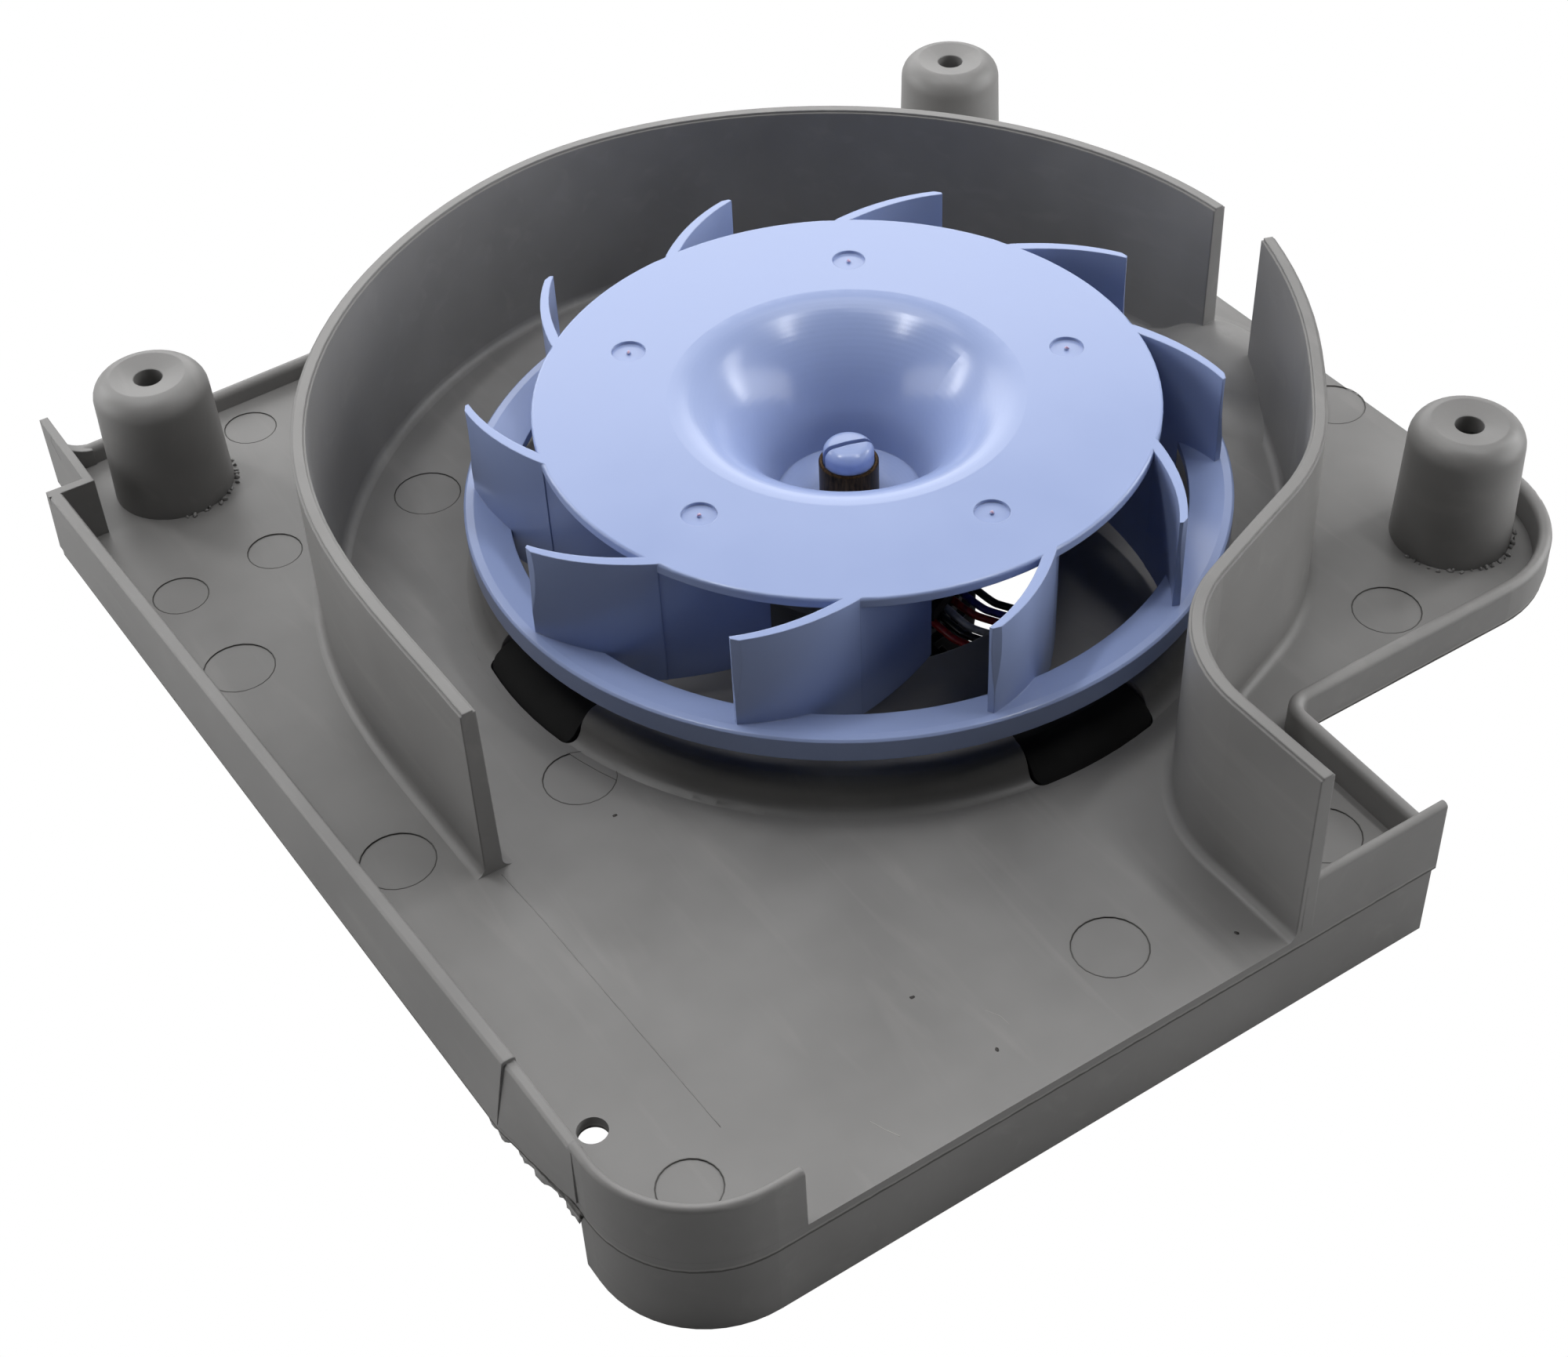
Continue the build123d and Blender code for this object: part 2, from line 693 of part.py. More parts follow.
# Shaft with a groove for the retaining clip
clip_z = 4.3
clip_t = 0.6
clip_r = 3.3
groove_r = 1.15
shaft_tip_r = 0.7
shaft_tip_h = 0.6
shaft_bevel = 0.4
shaft_section = Polyline(
    (0, shaft_bottom),
    (shaft_tip_r, shaft_bottom),
    (shaft_r, shaft_bottom + shaft_tip_h),
    (shaft_r, clip_z - fit_gap),
    (groove_r, clip_z - fit_gap),
    (groove_r, clip_z + clip_t + fit_gap),
    (shaft_r, clip_z + clip_t + fit_gap),
    (shaft_r, shaft_top - shaft_bevel),
    (shaft_r - shaft_bevel, shaft_top),
    (0, shaft_top),
    (0, shaft_bottom),
)
save("shaft", turned(make_face(shaft_section)))

clip_mouth = groove_r + 0.1
clip_lug_r = (clip_r + groove_r) / 2
clip = tube(clip_r, groove_r + fit_gap, clip_z, clip_z + clip_t)
clip -= block(0, clip_r + 1, -clip_mouth, clip_mouth, clip_z - 1, clip_z + clip_t + 1)
for side in (-115, 115):
    clip -= Rot(0, 0, side) * Pos(clip_lug_r, 0, 0) * column(0.5, clip_z - 1, clip_z + clip_t + 1)
save("retaining_clip", clip)
washer_r = 4.6
washer_in = shaft_r + bore_gap
washer_z = clip_z + clip_t + 0.6
washer_section = Polyline(
    (washer_in, washer_z),
    (washer_r, washer_z - 0.3),
    (washer_r, washer_z + 0.2),
    (washer_in, washer_z + 0.9),
    (washer_in, washer_z),
)
save("slinger_washer", turned(make_face(washer_section)))

# Rotor inside the motor
core_z0 = stack_bottom - 0.5
core_z1 = stack_top + 0.5
touch = 0.02
core_hole_r = 0.6
core_hole_ring_r = 3.4
core = tube(core_r, shaft_r + bore_gap, core_z0, core_z1)
for k in range(4):
    core -= Rot(0, 0, 45 + 90 * k) * Pos(core_hole_ring_r, 0, 0) * column(core_hole_r, core_z0 - 1, core_z1 + 1)
save("rotor_core", core)
magnet = tube(magnet_r, core_r + touch, core_z0 - 0.1, core_z1 + 0.4)
magnet = chamfer(magnet.edges().filter_by(GeomType.CIRCLE).group_by(SortBy.RADIUS)[-1], 0.4)
save("rotor_magnet", magnet)
spacer_r = 2.6
bush_bottom = -1.5
save("rotor_spacer", tube(spacer_r, shaft_r + bore_gap, core_z1 + touch, bush_bottom - 0.4))

# Motor case in two halves, with a neck above and a pocket below for the bushes
case_in = case_r - case_wall
case_floor = case_bottom + case_wall
pocket_r = 5.4
pocket_top = -12.0
lower = column(case_r, case_bottom, case_split) - column(case_in, case_floor, case_split + 1)
lower = fillet(lower.edges().filter_by(GeomType.CIRCLE).group_by(Axis.Z)[0], 0.9)
lower += tube(pocket_r, bush_r + fit_gap, case_bottom + case_wall / 2, pocket_top)
ear_column = column(ear_r, case_bottom, case_split)
ear_spots = [Rot(0, 0, ear_phase + 180 * k) * Pos(ear_ring_r, 0, 0) for k in range(2)]
for spot in ear_spots:
    lower += spot * ear_column
lower -= column(case_in, case_floor, case_split + 1) - column(pocket_r, case_bottom, pocket_top)
for spot in ear_spots:
    lower -= spot * column(pilot_r, case_bottom - 1, case_split + 1)

# Lead outlet slot in the side of the lower half
slot_angle = -64.0
slot_half_w = 8.4
outlet = Rot(0, 0, slot_angle) * block(case_in - 2.0, case_r + 3, -slot_half_w, slot_half_w, -5.6, case_split + 1)
lower -= outlet
save("motor_case_lower", lower)

bush_seat_r = bush_r + fit_gap
collar_r = 5.6
collar_bottom = bush_bottom - 0.1
spigot_r = case_in - fit_gap
spigot_drop = 0.8
roof_under = case_top - case_wall
upper_section = Polyline(
    (bush_seat_r, collar_bottom),
    (collar_r, collar_bottom),
    (collar_r, roof_under),
    (spigot_r - 1.0, roof_under),
    (spigot_r - 1.0, case_split - spigot_drop),
    (spigot_r, case_split - spigot_drop),
    (spigot_r, case_split),
    (case_r, case_split),
    (case_r, case_top - 0.7),
    (case_r - 0.7, case_top),
    (neck_r + 1.2, case_top),
    (neck_r, case_top + 1.2),
    (neck_r, neck_top - 0.5),
    (neck_r - 0.5, neck_top),
    (bush_r - 0.8, neck_top),
    (bush_r - 0.8, neck_top - 0.6),
    (bush_seat_r, neck_top - 0.6),
    (bush_seat_r, collar_bottom),
)
upper = turned(make_face(upper_section))
for spot in ear_spots:
    upper += spot * column(ear_r, case_split, case_top)
    upper -= spot * column(screw_r + 0.3, case_split - 1, case_top + 1)
vent_count = 8
vent = block(10, 16, -1.1, 1.1, case_split - 1, case_top + 1)
for k in range(vent_count):
    upper -= Rot(0, 0, (k + 0.5) * 360 / vent_count) * vent
upper -= Rot(0, 0, slot_angle) * block(case_in - 4.0, case_in + 0.01, -slot_half_w, slot_half_w, -3, case_split - 0.01)
save("motor_case_upper", upper)

# Sintered bushes and the thrust plate under the shaft
def bush(z0, z1):
    body = tube(bush_r, shaft_r + bush_gap, z0, z1)
    return chamfer(body.edges().filter_by(GeomType.CIRCLE), 0.25)


save("upper_bush", bush(bush_bottom, neck_top - 0.7))
save("lower_bush", bush(shaft_bottom + fit_gap, pocket_top - fit_gap))
save("thrust_plate", column(bush_r - 0.1, case_floor + touch, shaft_bottom - touch))

# Stator: laminated core with salient teeth, insulators, coils
bore_r = magnet_r + air_gap
tooth_tip_r = bore_r + 1.2
ring_in = stator_r - yoke_w
coil_w = 2.0
insul_t = 0.6


def star(grow):
    # Plan of the yoke ring and teeth, grown by a small margin for the insulators.
    face = Circle(stator_r) - Circle(ring_in - grow)
    for k in range(tooth_count):
        turn = Rot(0, 0, k * 360 / tooth_count)
        face += turn * Pos((bore_r + ring_in + 1) / 2 + 0.3, 0, 0) * Rectangle(ring_in + 0.4 - bore_r, tooth_w + 2 * grow)
    tips = Circle(tooth_tip_r + grow) - Circle(bore_r)
    for k in range(tooth_count):
        gap = Rot(0, 0, (k + 0.5) * 360 / tooth_count) * Pos(bore_r, 0, 0)
        tips -= gap * Rectangle(6, 2.2 - 2 * grow * 0.5)
    face += tips
    return face - Circle(bore_r)


save("stator_core", raised(star(0), stack_bottom, stack_top))
insulator = raised(star(insul_t * 0.5), stack_top, stack_top + insul_t)
insulator += raised(star(insul_t * 0.5), stack_bottom - insul_t, stack_bottom)
insulator -= tube(stator_r + 1, stator_r - 1.0, stack_bottom - 2, stack_top + 2)
save("winding_insulators", insulator)

coils = []
coil_r0 = tooth_tip_r + insul_t + 0.3
coil_r1 = ring_in - insul_t - 0.3
for k in range(tooth_count):
    half = tooth_w / 2 + insul_t * 0.5 + 0.05
    z_in0 = stack_bottom - insul_t - 0.05
    z_in1 = stack_top + insul_t + 0.05
    body = block(coil_r0, coil_r1, -half - 1.3, half + 1.3, z_in0 - 0.9, z_in1 + 0.7)
    body -= block(coil_r0 - 1, coil_r1 + 1, -half, half, z_in0, z_in1)
    body = fillet(body.edges().filter_by(Axis.X).group_by(SortBy.DISTANCE)[-1], 0.7)
    coils.append(Rot(0, 0, k * 360 / tooth_count) * body)
save("stator_coils", Compound(children=coils))

# Circuit board with its driver chip, capacitor and solder pads
save("circuit_board", tube(case_in - 1.4, 7.0, board_z, board_z + board_t))
save("driver_chip", Rot(0, 0, 150) * block(10.5, 15.0, -2.5, 2.5, board_z + board_t + 0.02, board_z + board_t + 1.2))
save("smoothing_capacitor", Rot(0, 0, 60) * Pos(13.5, 0, 0) * column(1.9, board_z + board_t + 0.02, -0.4))

# Motor bracket: a cup ring round the case, four stepped arms and foot seats
cup_in = case_r + 0.15
cup_out = case_r + 2.1
cup = tube(cup_out, cup_in, case_bottom - 0.8, -9.0)
cup += tube(cup_in + 0.5, 17.5, case_bottom - 0.8, case_bottom - 0.02)
for spot in ear_spots:
    cup += spot * column(ear_r + 1.4, case_bottom - 0.8, -9.0)
    cup -= spot * column(ear_r + 0.15, case_bottom - 0.02, 0)
cup -= column(cup_in, case_bottom - 0.02, 0)
for spot in ear_spots:
    cup -= spot * column(screw_r + 0.3, case_bottom - 3, case_bottom + 1)
arm_knee_r = post_ring_r - 9.5
side = Polyline(
    (cup_in + 0.6, arm_z),
    (arm_knee_r, arm_z),
    (arm_knee_r + 4.5, seat_z - seat_t - 0.1),
    (window_out - 2.0, seat_z - seat_t - 0.1),
    (window_out - 2.0, seat_z - 0.1),
    (arm_knee_r + 3.5, seat_z - 0.1),
    (arm_knee_r - 1.5, arm_z + arm_t),
    (cup_in + 0.6, arm_z + arm_t),
    (cup_in + 0.6, arm_z),
)
arm = Pos(0, arm_w / 2, 0) * extrude(Plane.XZ * make_face(side), amount=arm_w)
rib = Polyline(
    (cup_in + 0.6, arm_z + arm_t - 0.5),
    (arm_knee_r - 2.0, arm_z + arm_t - 0.5),
    (arm_knee_r - 10.5, arm_z + arm_t + 1.6),
    (cup_in + 0.6, arm_z + arm_t + 2.6),
    (cup_in + 0.6, arm_z + arm_t - 0.5),
)
arm += Pos(0, 0.9, 0) * extrude(Plane.XZ * make_face(rib), amount=1.8)
pad_in = window_in + 0.3
pad_out = window_out - 0.6
pad_half = window_half - 2.0
pad = Line(polar(pad_in, -pad_half), polar(pad_out, -pad_half))
pad += ThreePointArc(polar(pad_out, -pad_half), (pad_out, 0, 0), polar(pad_out, pad_half))
pad += Line(polar(pad_out, pad_half), polar(pad_in, pad_half))
pad += ThreePointArc(polar(pad_in, pad_half), (pad_in, 0, 0), polar(pad_in, -pad_half))
arm += raised(make_face(pad), seat_z - seat_t - 0.1, seat_z - 0.1)
arm -= Pos(post_ring_r, 0, 0) * column(screw_r + 0.35, -20, 0)
bracket = cup
for k in range(arm_count):
    bracket += Rot(0, 0, arm_phase + k * 360 / arm_count) * arm
bracket -= column(cup_in, case_bottom - 0.02, 5)
for spot in ear_spots:
    bracket -= spot * column(ear_r + 0.15, case_bottom - 0.02, 0)
print("bracket solids", len(bracket.solids()))
save("motor_bracket", bracket)

# Rubber foot cushions that fill the windows from below
cushion_section = Line((window_in + foot_gap, seat_z), (window_out - foot_gap, seat_z))
cushion_section += Line((window_out - foot_gap, seat_z), (window_out - foot_gap, -0.4))
cushion_section += ThreePointArc(
    (window_out - foot_gap, -0.4), (shoulder_r - 2.9, 2.7), (platform_r - 1.5, platform_h - 0.5)
)
cushion_section += Polyline(
    (platform_r - 1.5, platform_h - 0.5),
    (window_in + foot_gap, platform_h - 0.5),
    (window_in + foot_gap, seat_z),
)
cushion_half = window_half - 0.35
cushion = revolve(Plane.XZ * make_face(cushion_section), Axis.Z, 2 * cushion_half)
cushion = Rot(0, 0, -cushion_half) * cushion
cushion = cushion & raised(offset(window_face, -foot_gap), seat_z - 1, platform_h)
cushions = [Rot(0, 0, arm_phase + k * 360 / arm_count) * cushion for k in range(arm_count)]
save("foot_cushions", Compound(children=cushions))


def screw(z_head, direction, length, head_r, head_h):
    # Pan-head screw whose head's bearing face is at z_head; direction is the head's side.
    section = Polyline((0, -length), (screw_r - 0.5, -length), (screw_r, -length + 0.8), (screw_r, 0), (head_r, 0))
    section += ThreePointArc((head_r, 0), (head_r - 0.25, head_h * 0.72), (head_r * 0.55, head_h))
    section += Polyline((head_r * 0.55, head_h), (0, head_h), (0, -length))
    body = turned(make_face(section))
    recess = block(-head_r * 0.6, head_r * 0.6, -0.3, 0.3, head_h * 0.4, head_h + 1)
    body -= recess
    body -= Rot(0, 0, 90) * recess
    if direction < 0:
        body = Rot(180, 0, 0) * body
    return Pos(0, 0, z_head) * body


foot_screw = screw(seat_z - seat_t - 0.12, -1, 7.0, 2.7, 1.7)
foot_screws = [Rot(0, 0, arm_phase + k * 360 / arm_count) * Pos(post_ring_r, 0, 0) * foot_screw for k in range(arm_count)]
save("foot_screws", Compound(children=foot_screws))
case_screw = screw(case_top + 0.02, 1, 6.5, 2.5, 1.6)
save("case_screws", Compound(children=[spot * case_screw for spot in ear_spots]))
under_screw = screw(case_bottom - 0.82, -1, 6.5, 2.5, 1.2)
save("bracket_screws", Compound(children=[spot * under_screw for spot in ear_spots]))

# Six leads from the board, out of the case's side, to the plug by the outlet skirt
lead_names = ["lead_red_a", "lead_black_a", "lead_white", "lead_red_b", "lead_blue", "lead_black_b"]
exit_x = [2.6, 4.7, 6.8, 9.0, 11.6, 14.2]
spread_x = [3.4, 5.5, 7.6, 11.8, 13.9, 16.4]
gather_pitch = 2.1
gather_x = [15.4 + k * gather_pitch for k in range(6)]
gather_z = wire_z - 1.4
knee_stagger = 0.8
plug_pitch = 2.5
pin_z = plug_top - plug_h / 2
for k in range(6):
    start_y = -((case_in - 2.9) ** 2 - exit_x[k] ** 2) ** 0.5
    pin_x = plug_x + (k - 2.5) * plug_pitch
    route = FilletPolyline(
        (exit_x[k], start_y, wire_z),
        (exit_x[k], -24.0, wire_z),
        (spread_x[k], -31.0 + k * knee_stagger, wire_z - 0.5),
        (gather_x[k], -44.0 + k * knee_stagger, gather_z),
        (gather_x[k], -72.0, gather_z),
        (pin_x, -84.0, pin_z),
        (pin_x, plug_y + plug_l / 2 - 3.0, pin_z),
        radius=4.0,
    )
    lead = sweep(Plane(route @ 0, z_dir=route % 0) * Circle(wire_r), path=route)
    radii = [round(e.radius, 2) for e in route.edges() if e.geom_type == GeomType.CIRCLE]
    print(lead_names[k], "bend radii", radii)
    save(lead_names[k], lead)

# Rubber grommet in the case's lead slot
grommet = Rot(0, 0, slot_angle) * block(case_in - 0.6, case_r + 0.6, -slot_half_w + 0.1, slot_half_w - 0.1, -5.5, case_split - 0.1)
lead_hole = Rot(90, 0, 0) * extrude(Circle(wire_r + 0.1), amount=40)
for k in range(6):
    grommet -= Pos(exit_x[k], 0, wire_z) * lead_hole
save("lead_grommet", grommet)

# Tie round the bundle, and the plug with its crimped contacts
tie_y = -56.0
tie_x0 = gather_x[0] - wire_r - 0.1
tie_x1 = gather_x[5] + wire_r + 0.1
tie = block(tie_x0 - 0.5, tie_x1 + 0.5, tie_y - 1.2, tie_y + 1.2, gather_z - wire_r - 0.6, gather_z + wire_r + 0.6)
tie -= block(tie_x0, tie_x1, tie_y - 3, tie_y + 3, gather_z - wire_r - 0.1, gather_z + wire_r + 0.1)
tie += block(tie_x1 + 0.4, tie_x1 + 3.2, tie_y - 2.0, tie_y + 2.0, gather_z - 2.0, gather_z + 1.6)
save("lead_tie", tie)

plug = block(plug_x - plug_w / 2, plug_x + plug_w / 2, plug_y - plug_l / 2, plug_y + plug_l / 2,
             plug_top - plug_h, plug_top)
contacts = []
for k in range(6):
    pin_x = plug_x + (k - 2.5) * plug_pitch
    mid_z = plug_top - plug_h / 2
    plug -= block(pin_x - 0.95, pin_x + 0.95, plug_y - plug_l / 2 - 1, plug_y + plug_l / 2 + 1, mid_z - 0.95, mid_z + 0.95)
    spade = block(pin_x - 0.8, pin_x + 0.8, plug_y - plug_l / 2 + 1.0, plug_y + plug_l / 2 - 3.2, mid_z - 0.8, mid_z + 0.8)
    spade -= block(pin_x - 0.5, pin_x + 0.5, plug_y - plug_l / 2 - 1, plug_y + 1.0, mid_z - 0.5, mid_z + 0.5)
    contacts.append(spade)
plug += block(plug_x - 3.0, plug_x + 3.0, plug_y - plug_l / 2, plug_y + 1.0, plug_top - plug_h - 1.2, plug_top - plug_h)
save("plug_housing", plug)
save("plug_contacts", Compound(children=contacts))
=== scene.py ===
import bpy
import bmesh
from math import cos, pi, radians, sin
from random import Random
from mathutils import Matrix, Vector
from mathutils.noise import noise


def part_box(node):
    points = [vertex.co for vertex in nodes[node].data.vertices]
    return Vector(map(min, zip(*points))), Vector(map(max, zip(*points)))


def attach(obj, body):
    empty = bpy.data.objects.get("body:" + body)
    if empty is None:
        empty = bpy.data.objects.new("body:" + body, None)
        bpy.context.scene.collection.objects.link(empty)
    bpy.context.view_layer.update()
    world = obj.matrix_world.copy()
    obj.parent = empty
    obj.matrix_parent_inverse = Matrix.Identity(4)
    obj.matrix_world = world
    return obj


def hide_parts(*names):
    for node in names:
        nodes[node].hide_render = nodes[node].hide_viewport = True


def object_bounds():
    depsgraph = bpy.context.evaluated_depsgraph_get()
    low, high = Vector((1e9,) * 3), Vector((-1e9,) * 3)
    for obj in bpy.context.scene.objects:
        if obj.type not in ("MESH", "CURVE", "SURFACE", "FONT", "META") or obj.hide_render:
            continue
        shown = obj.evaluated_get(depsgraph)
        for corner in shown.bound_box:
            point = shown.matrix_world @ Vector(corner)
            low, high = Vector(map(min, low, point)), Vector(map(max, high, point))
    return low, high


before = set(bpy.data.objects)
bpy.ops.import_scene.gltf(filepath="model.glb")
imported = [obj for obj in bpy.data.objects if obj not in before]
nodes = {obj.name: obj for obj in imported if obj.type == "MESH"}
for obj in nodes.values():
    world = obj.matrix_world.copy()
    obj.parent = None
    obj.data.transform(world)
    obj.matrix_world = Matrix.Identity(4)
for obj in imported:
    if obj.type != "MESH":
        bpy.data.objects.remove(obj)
cadLow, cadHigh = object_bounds()
mm = 0.001

# The impeller's axis and the floor's upper face, read from the frame
sleeveLow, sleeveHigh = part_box("clamp_sleeve")
axisX = (sleeveLow[0] + sleeveHigh[0]) / 2
axisY = (sleeveLow[1] + sleeveHigh[1]) / 2
wallHeight = 36 * mm
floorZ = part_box("scroll_housing")[1][2] - wallHeight


def at(x, y, z=0.0):
    # millimetres from the impeller's axis and the floor's upper face
    return Vector((axisX + x * mm, axisY + y * mm, floorZ + z * mm))


def polar(r, deg, z=0.0):
    return at(r * cos(radians(deg)), r * sin(radians(deg)), z)


def linear(hexColour):
    # sRGB hex to the linear values that the sockets take
    values = []
    for k in (0, 2, 4):
        c = int(hexColour[k:k + 2], 16) / 255
        values.append(c / 12.92 if c <= 0.04045 else ((c + 0.055) / 1.055) ** 2.4)
    return (*values, 1.0)


def grey(value):
    return (value, value, value, 1.0)


def feed(tree, node, inputs):
    # a value or a link for each input
    for name, value in inputs.items():
        if isinstance(value, bpy.types.NodeSocket):
            tree.links.new(value, node.inputs[name])
        else:
            node.inputs[name].default_value = value


def add(tree, kind, inputs=None, stops=None, **settings):
    # one node: its settings, its colour stops, then values or links for its inputs
    made = tree.nodes.new("ShaderNode" + kind)
    for name, value in settings.items():
        setattr(made, name, value)
    if stops:
        elements = made.color_ramp.elements
        while len(elements) < len(stops):
            elements.new(0.5)
        for element, (position, colour) in zip(elements, stops):
            element.position = position
            element.color = colour
    feed(tree, made, inputs or {})
    return made


def startMaterial(name):
    made = bpy.data.materials.new(name)
    made.use_nodes = True
    tree = made.node_tree
    return made, tree, tree.nodes["Principled BSDF"], add(tree, "TexCoord").outputs["Object"]


# What all the moulded plastics share
moulding = {
    "driftDetail": 3.0, "grainDetail": 2.0,
    "darkAt": 0.3, "baseAt": 0.5, "paleAt": 0.72,     # where the three tones lie in the drift
    "driftLow": 0.35, "driftHigh": 0.65, "roughSpread": 0.04,
    "grainDepth": 0.05,     # mm
    "edgeFrom": -60,        # mm, lower than the lowest piece: every edge is rounded
    "edgeFade": 1,          # mm over which the rounding sets in
    "edgeSamples": 4,
}


def mouldedPlastic(name, look):
    # slow drift of colour from the melt, the mould's fine grain, edges as round as a mould leaves them.
    # A look may hold its own edgeFrom: mm over the floor, where its rounding sets in
    made, tree, shader, place = startMaterial(name)
    drift = add(tree, "TexNoise", {
        "Vector": place, "Scale": 1 / (look["drift"] * mm), "Detail": moulding["driftDetail"]})
    tone = add(tree, "ValToRGB", {"Fac": drift.outputs["Fac"]}, stops=[
        (moulding["darkAt"], linear(look["dark"])), (moulding["baseAt"], linear(look["base"])),
        (moulding["paleAt"], linear(look["pale"]))])
    rough = add(tree, "MapRange", {
        "Value": drift.outputs["Fac"],
        "From Min": moulding["driftLow"], "From Max": moulding["driftHigh"],
        "To Min": look["roughness"] - moulding["roughSpread"],
        "To Max": look["roughness"] + moulding["roughSpread"]})
    grain = add(tree, "TexNoise", {
        "Vector": place, "Scale": 1 / (look["grain"] * mm), "Detail": moulding["grainDetail"]})
    height = add(tree, "SeparateXYZ", {0: place})
    edgeFrom = look.get("edgeFrom", moulding["edgeFrom"])
    rounding = add(tree, "MapRange", {
        "Value": height.outputs["Z"], "From Min": floorZ + edgeFrom * mm,
        "From Max": floorZ + (edgeFrom + moulding["edgeFade"]) * mm, "To Max": look["edge"] * mm})
    edges = add(tree, "Bevel", {"Radius": rounding.outputs["Result"]}, samples=moulding["edgeSamples"])
    relief = add(tree, "Bump", {
        "Strength": look["relief"], "Distance": moulding["grainDepth"] * mm,
        "Height": grain.outputs["Fac"], "Normal": edges.outputs["Normal"]})
    feed(tree, shader, {
        "Base Color": tone.outputs["Color"], "Roughness": rough.outputs["Result"],
        "Normal": relief.outputs["Normal"], "IOR": look["ior"]})
    return made, tree, shader, place, tone, relief


# What all the metals share
metalwork = {
    "detail": 3.0, "darkAt": 0.3, "paleAt": 0.7, "roughSpread": 0.08,
    "streakDepth": 0.02,     # mm
}


def workedMetal(name, look):
    # streaks across the metal where it was turned, ground, rolled or plated
    made, tree, shader, place = startMaterial(name)
    stretched = add(tree, "Mapping", {"Vector": place, "Scale": look["stretch"]})
    streaks = add(tree, "TexNoise", {
        "Vector": stretched.outputs["Vector"], "Scale": 1 / (look["streak"] * mm),
        "Detail": metalwork["detail"]})
    tone = add(tree, "ValToRGB", {"Fac": streaks.outputs["Fac"]}, stops=[
        (metalwork["darkAt"], linear(look["dark"])), (metalwork["paleAt"], linear(look["pale"]))])
    rough = add(tree, "MapRange", {
        "Value": streaks.outputs["Fac"],
        "To Min": look["roughness"] - metalwork["roughSpread"],
        "To Max": look["roughness"] + metalwork["roughSpread"]})
    relief = add(tree, "Bump", {
        "Strength": look["relief"], "Distance": metalwork["streakDepth"] * mm,
        "Height": streaks.outputs["Fac"]})
    feed(tree, shader, {
        "Base Color": tone.outputs["Color"], "Roughness": rough.outputs["Result"],
        "Normal": relief.outputs["Normal"], "Metallic": 1.0})
    return made


def dress(material, *names):
    for name in names:
        nodes[name].data.materials.clear()
        nodes[name].data.materials.append(material)


# Housing: grey polypropylene, injection moulded. Satin, with pale flow marks and a chalky bloom
housingLook = {
    "base": "7E7D7C", "pale": "858483", "dark": "777675",
    "roughness": 0.44, "ior": 1.49, "grain": 0.5, "relief": 0.16, "drift": 26, "edge": 0.45,
    "edgeFrom": 1.0,      # mm over the floor: the floor's own edges aren't rounded
    "flowMark": 5.0,      # mm between flow marks along the melt's way
    "flowStretch": (1.0, 0.12, 1.0), "flowDetail": 4.0, "flowBend": 0.6,
    "flowLow": 0.56, "flowHigh": 0.8, "flowAmount": 0.35,
    "bloom": "918F8D",
}
housingGrey, tree, shader, place, tone, _ = mouldedPlastic("GreyMouldedPolypropylene", housingLook)
flowPlace = add(tree, "Mapping", {"Vector": place, "Scale": housingLook["flowStretch"]})
flow = add(tree, "TexNoise", {
    "Vector": flowPlace.outputs["Vector"], "Scale": 1 / (housingLook["flowMark"] * mm),
    "Detail": housingLook["flowDetail"], "Distortion": housingLook["flowBend"]})
flowAmount = add(tree, "MapRange", {
    "Value": flow.outputs["Fac"], "From Min": housingLook["flowLow"], "From Max": housingLook["flowHigh"],
    "To Max": housingLook["flowAmount"]})
# a Mix node of colours takes its factor at 0 and its colours at 6 and 7, and gives the result at 2
bloomed = add(tree, "Mix", {
    0: flowAmount.outputs["Result"], 6: tone.outputs["Color"], 7: linear(housingLook["bloom"])},
    data_type="RGBA")

# The parting line, where the mould halves met: a dark band just below it, painted shadow under the
# parting ledge, with torn pale plastic above it, wandering a little. The bands give their strength from
# the lower end of the line to the upper
partingLine = {
    "z": -2.1, "under": 0.5, "over": 0.8,                   # mm
    "wander": 2.5, "wanderBy": 0.3, "wanderDetail": 3.0,    # mm, mm
    # painted shadow: the dark band just below the line, where the ledge would cast its shade
    "creaseColour": "3E3C39", "creaseBand": ((0.0, 0), (0.12, 1), (0.34, 1), (0.46, 0)),
    "tornColour": housingLook["bloom"], "tornBand": ((0.46, 0), (0.56, 0.8), (0.7, 0.8), (0.86, 0)),
}
across = add(tree, "SeparateXYZ", {0: place})
wander = add(tree, "TexNoise", {
    "Vector": place, "Scale": 1 / (partingLine["wander"] * mm), "Detail": partingLine["wanderDetail"]})
wanderBy = add(tree, "MapRange", {
    "Value": wander.outputs["Fac"],
    "To Min": -partingLine["wanderBy"] * mm, "To Max": partingLine["wanderBy"] * mm})
wandered = add(tree, "Math", {0: across.outputs["Z"], 1: wanderBy.outputs["Result"]}, operation="ADD")
partingZ = floorZ + partingLine["z"] * mm
overLine = add(tree, "MapRange", {
    "Value": wandered.outputs[0], "From Min": partingZ - partingLine["under"] * mm,
    "From Max": partingZ + partingLine["over"] * mm})
colour = bloomed.outputs[2]
# the first band darkens the plastic under the line as painted shadow of the ledge, the second is the torn
# pale plastic over it
for part in ("crease", "torn"):
    band = add(tree, "ValToRGB", {"Fac": overLine.outputs["Result"]}, stops=[
        (position, grey(strength)) for position, strength in partingLine[part + "Band"]])
    colour = add(tree, "Mix", {
        0: band.outputs["Color"], 6: colour, 7: linear(partingLine[part + "Colour"])},
        data_type="RGBA").outputs[2]
tree.links.new(colour, shader.inputs["Base Color"])
dress(housingGrey, "scroll_housing")
print("housing dressed")

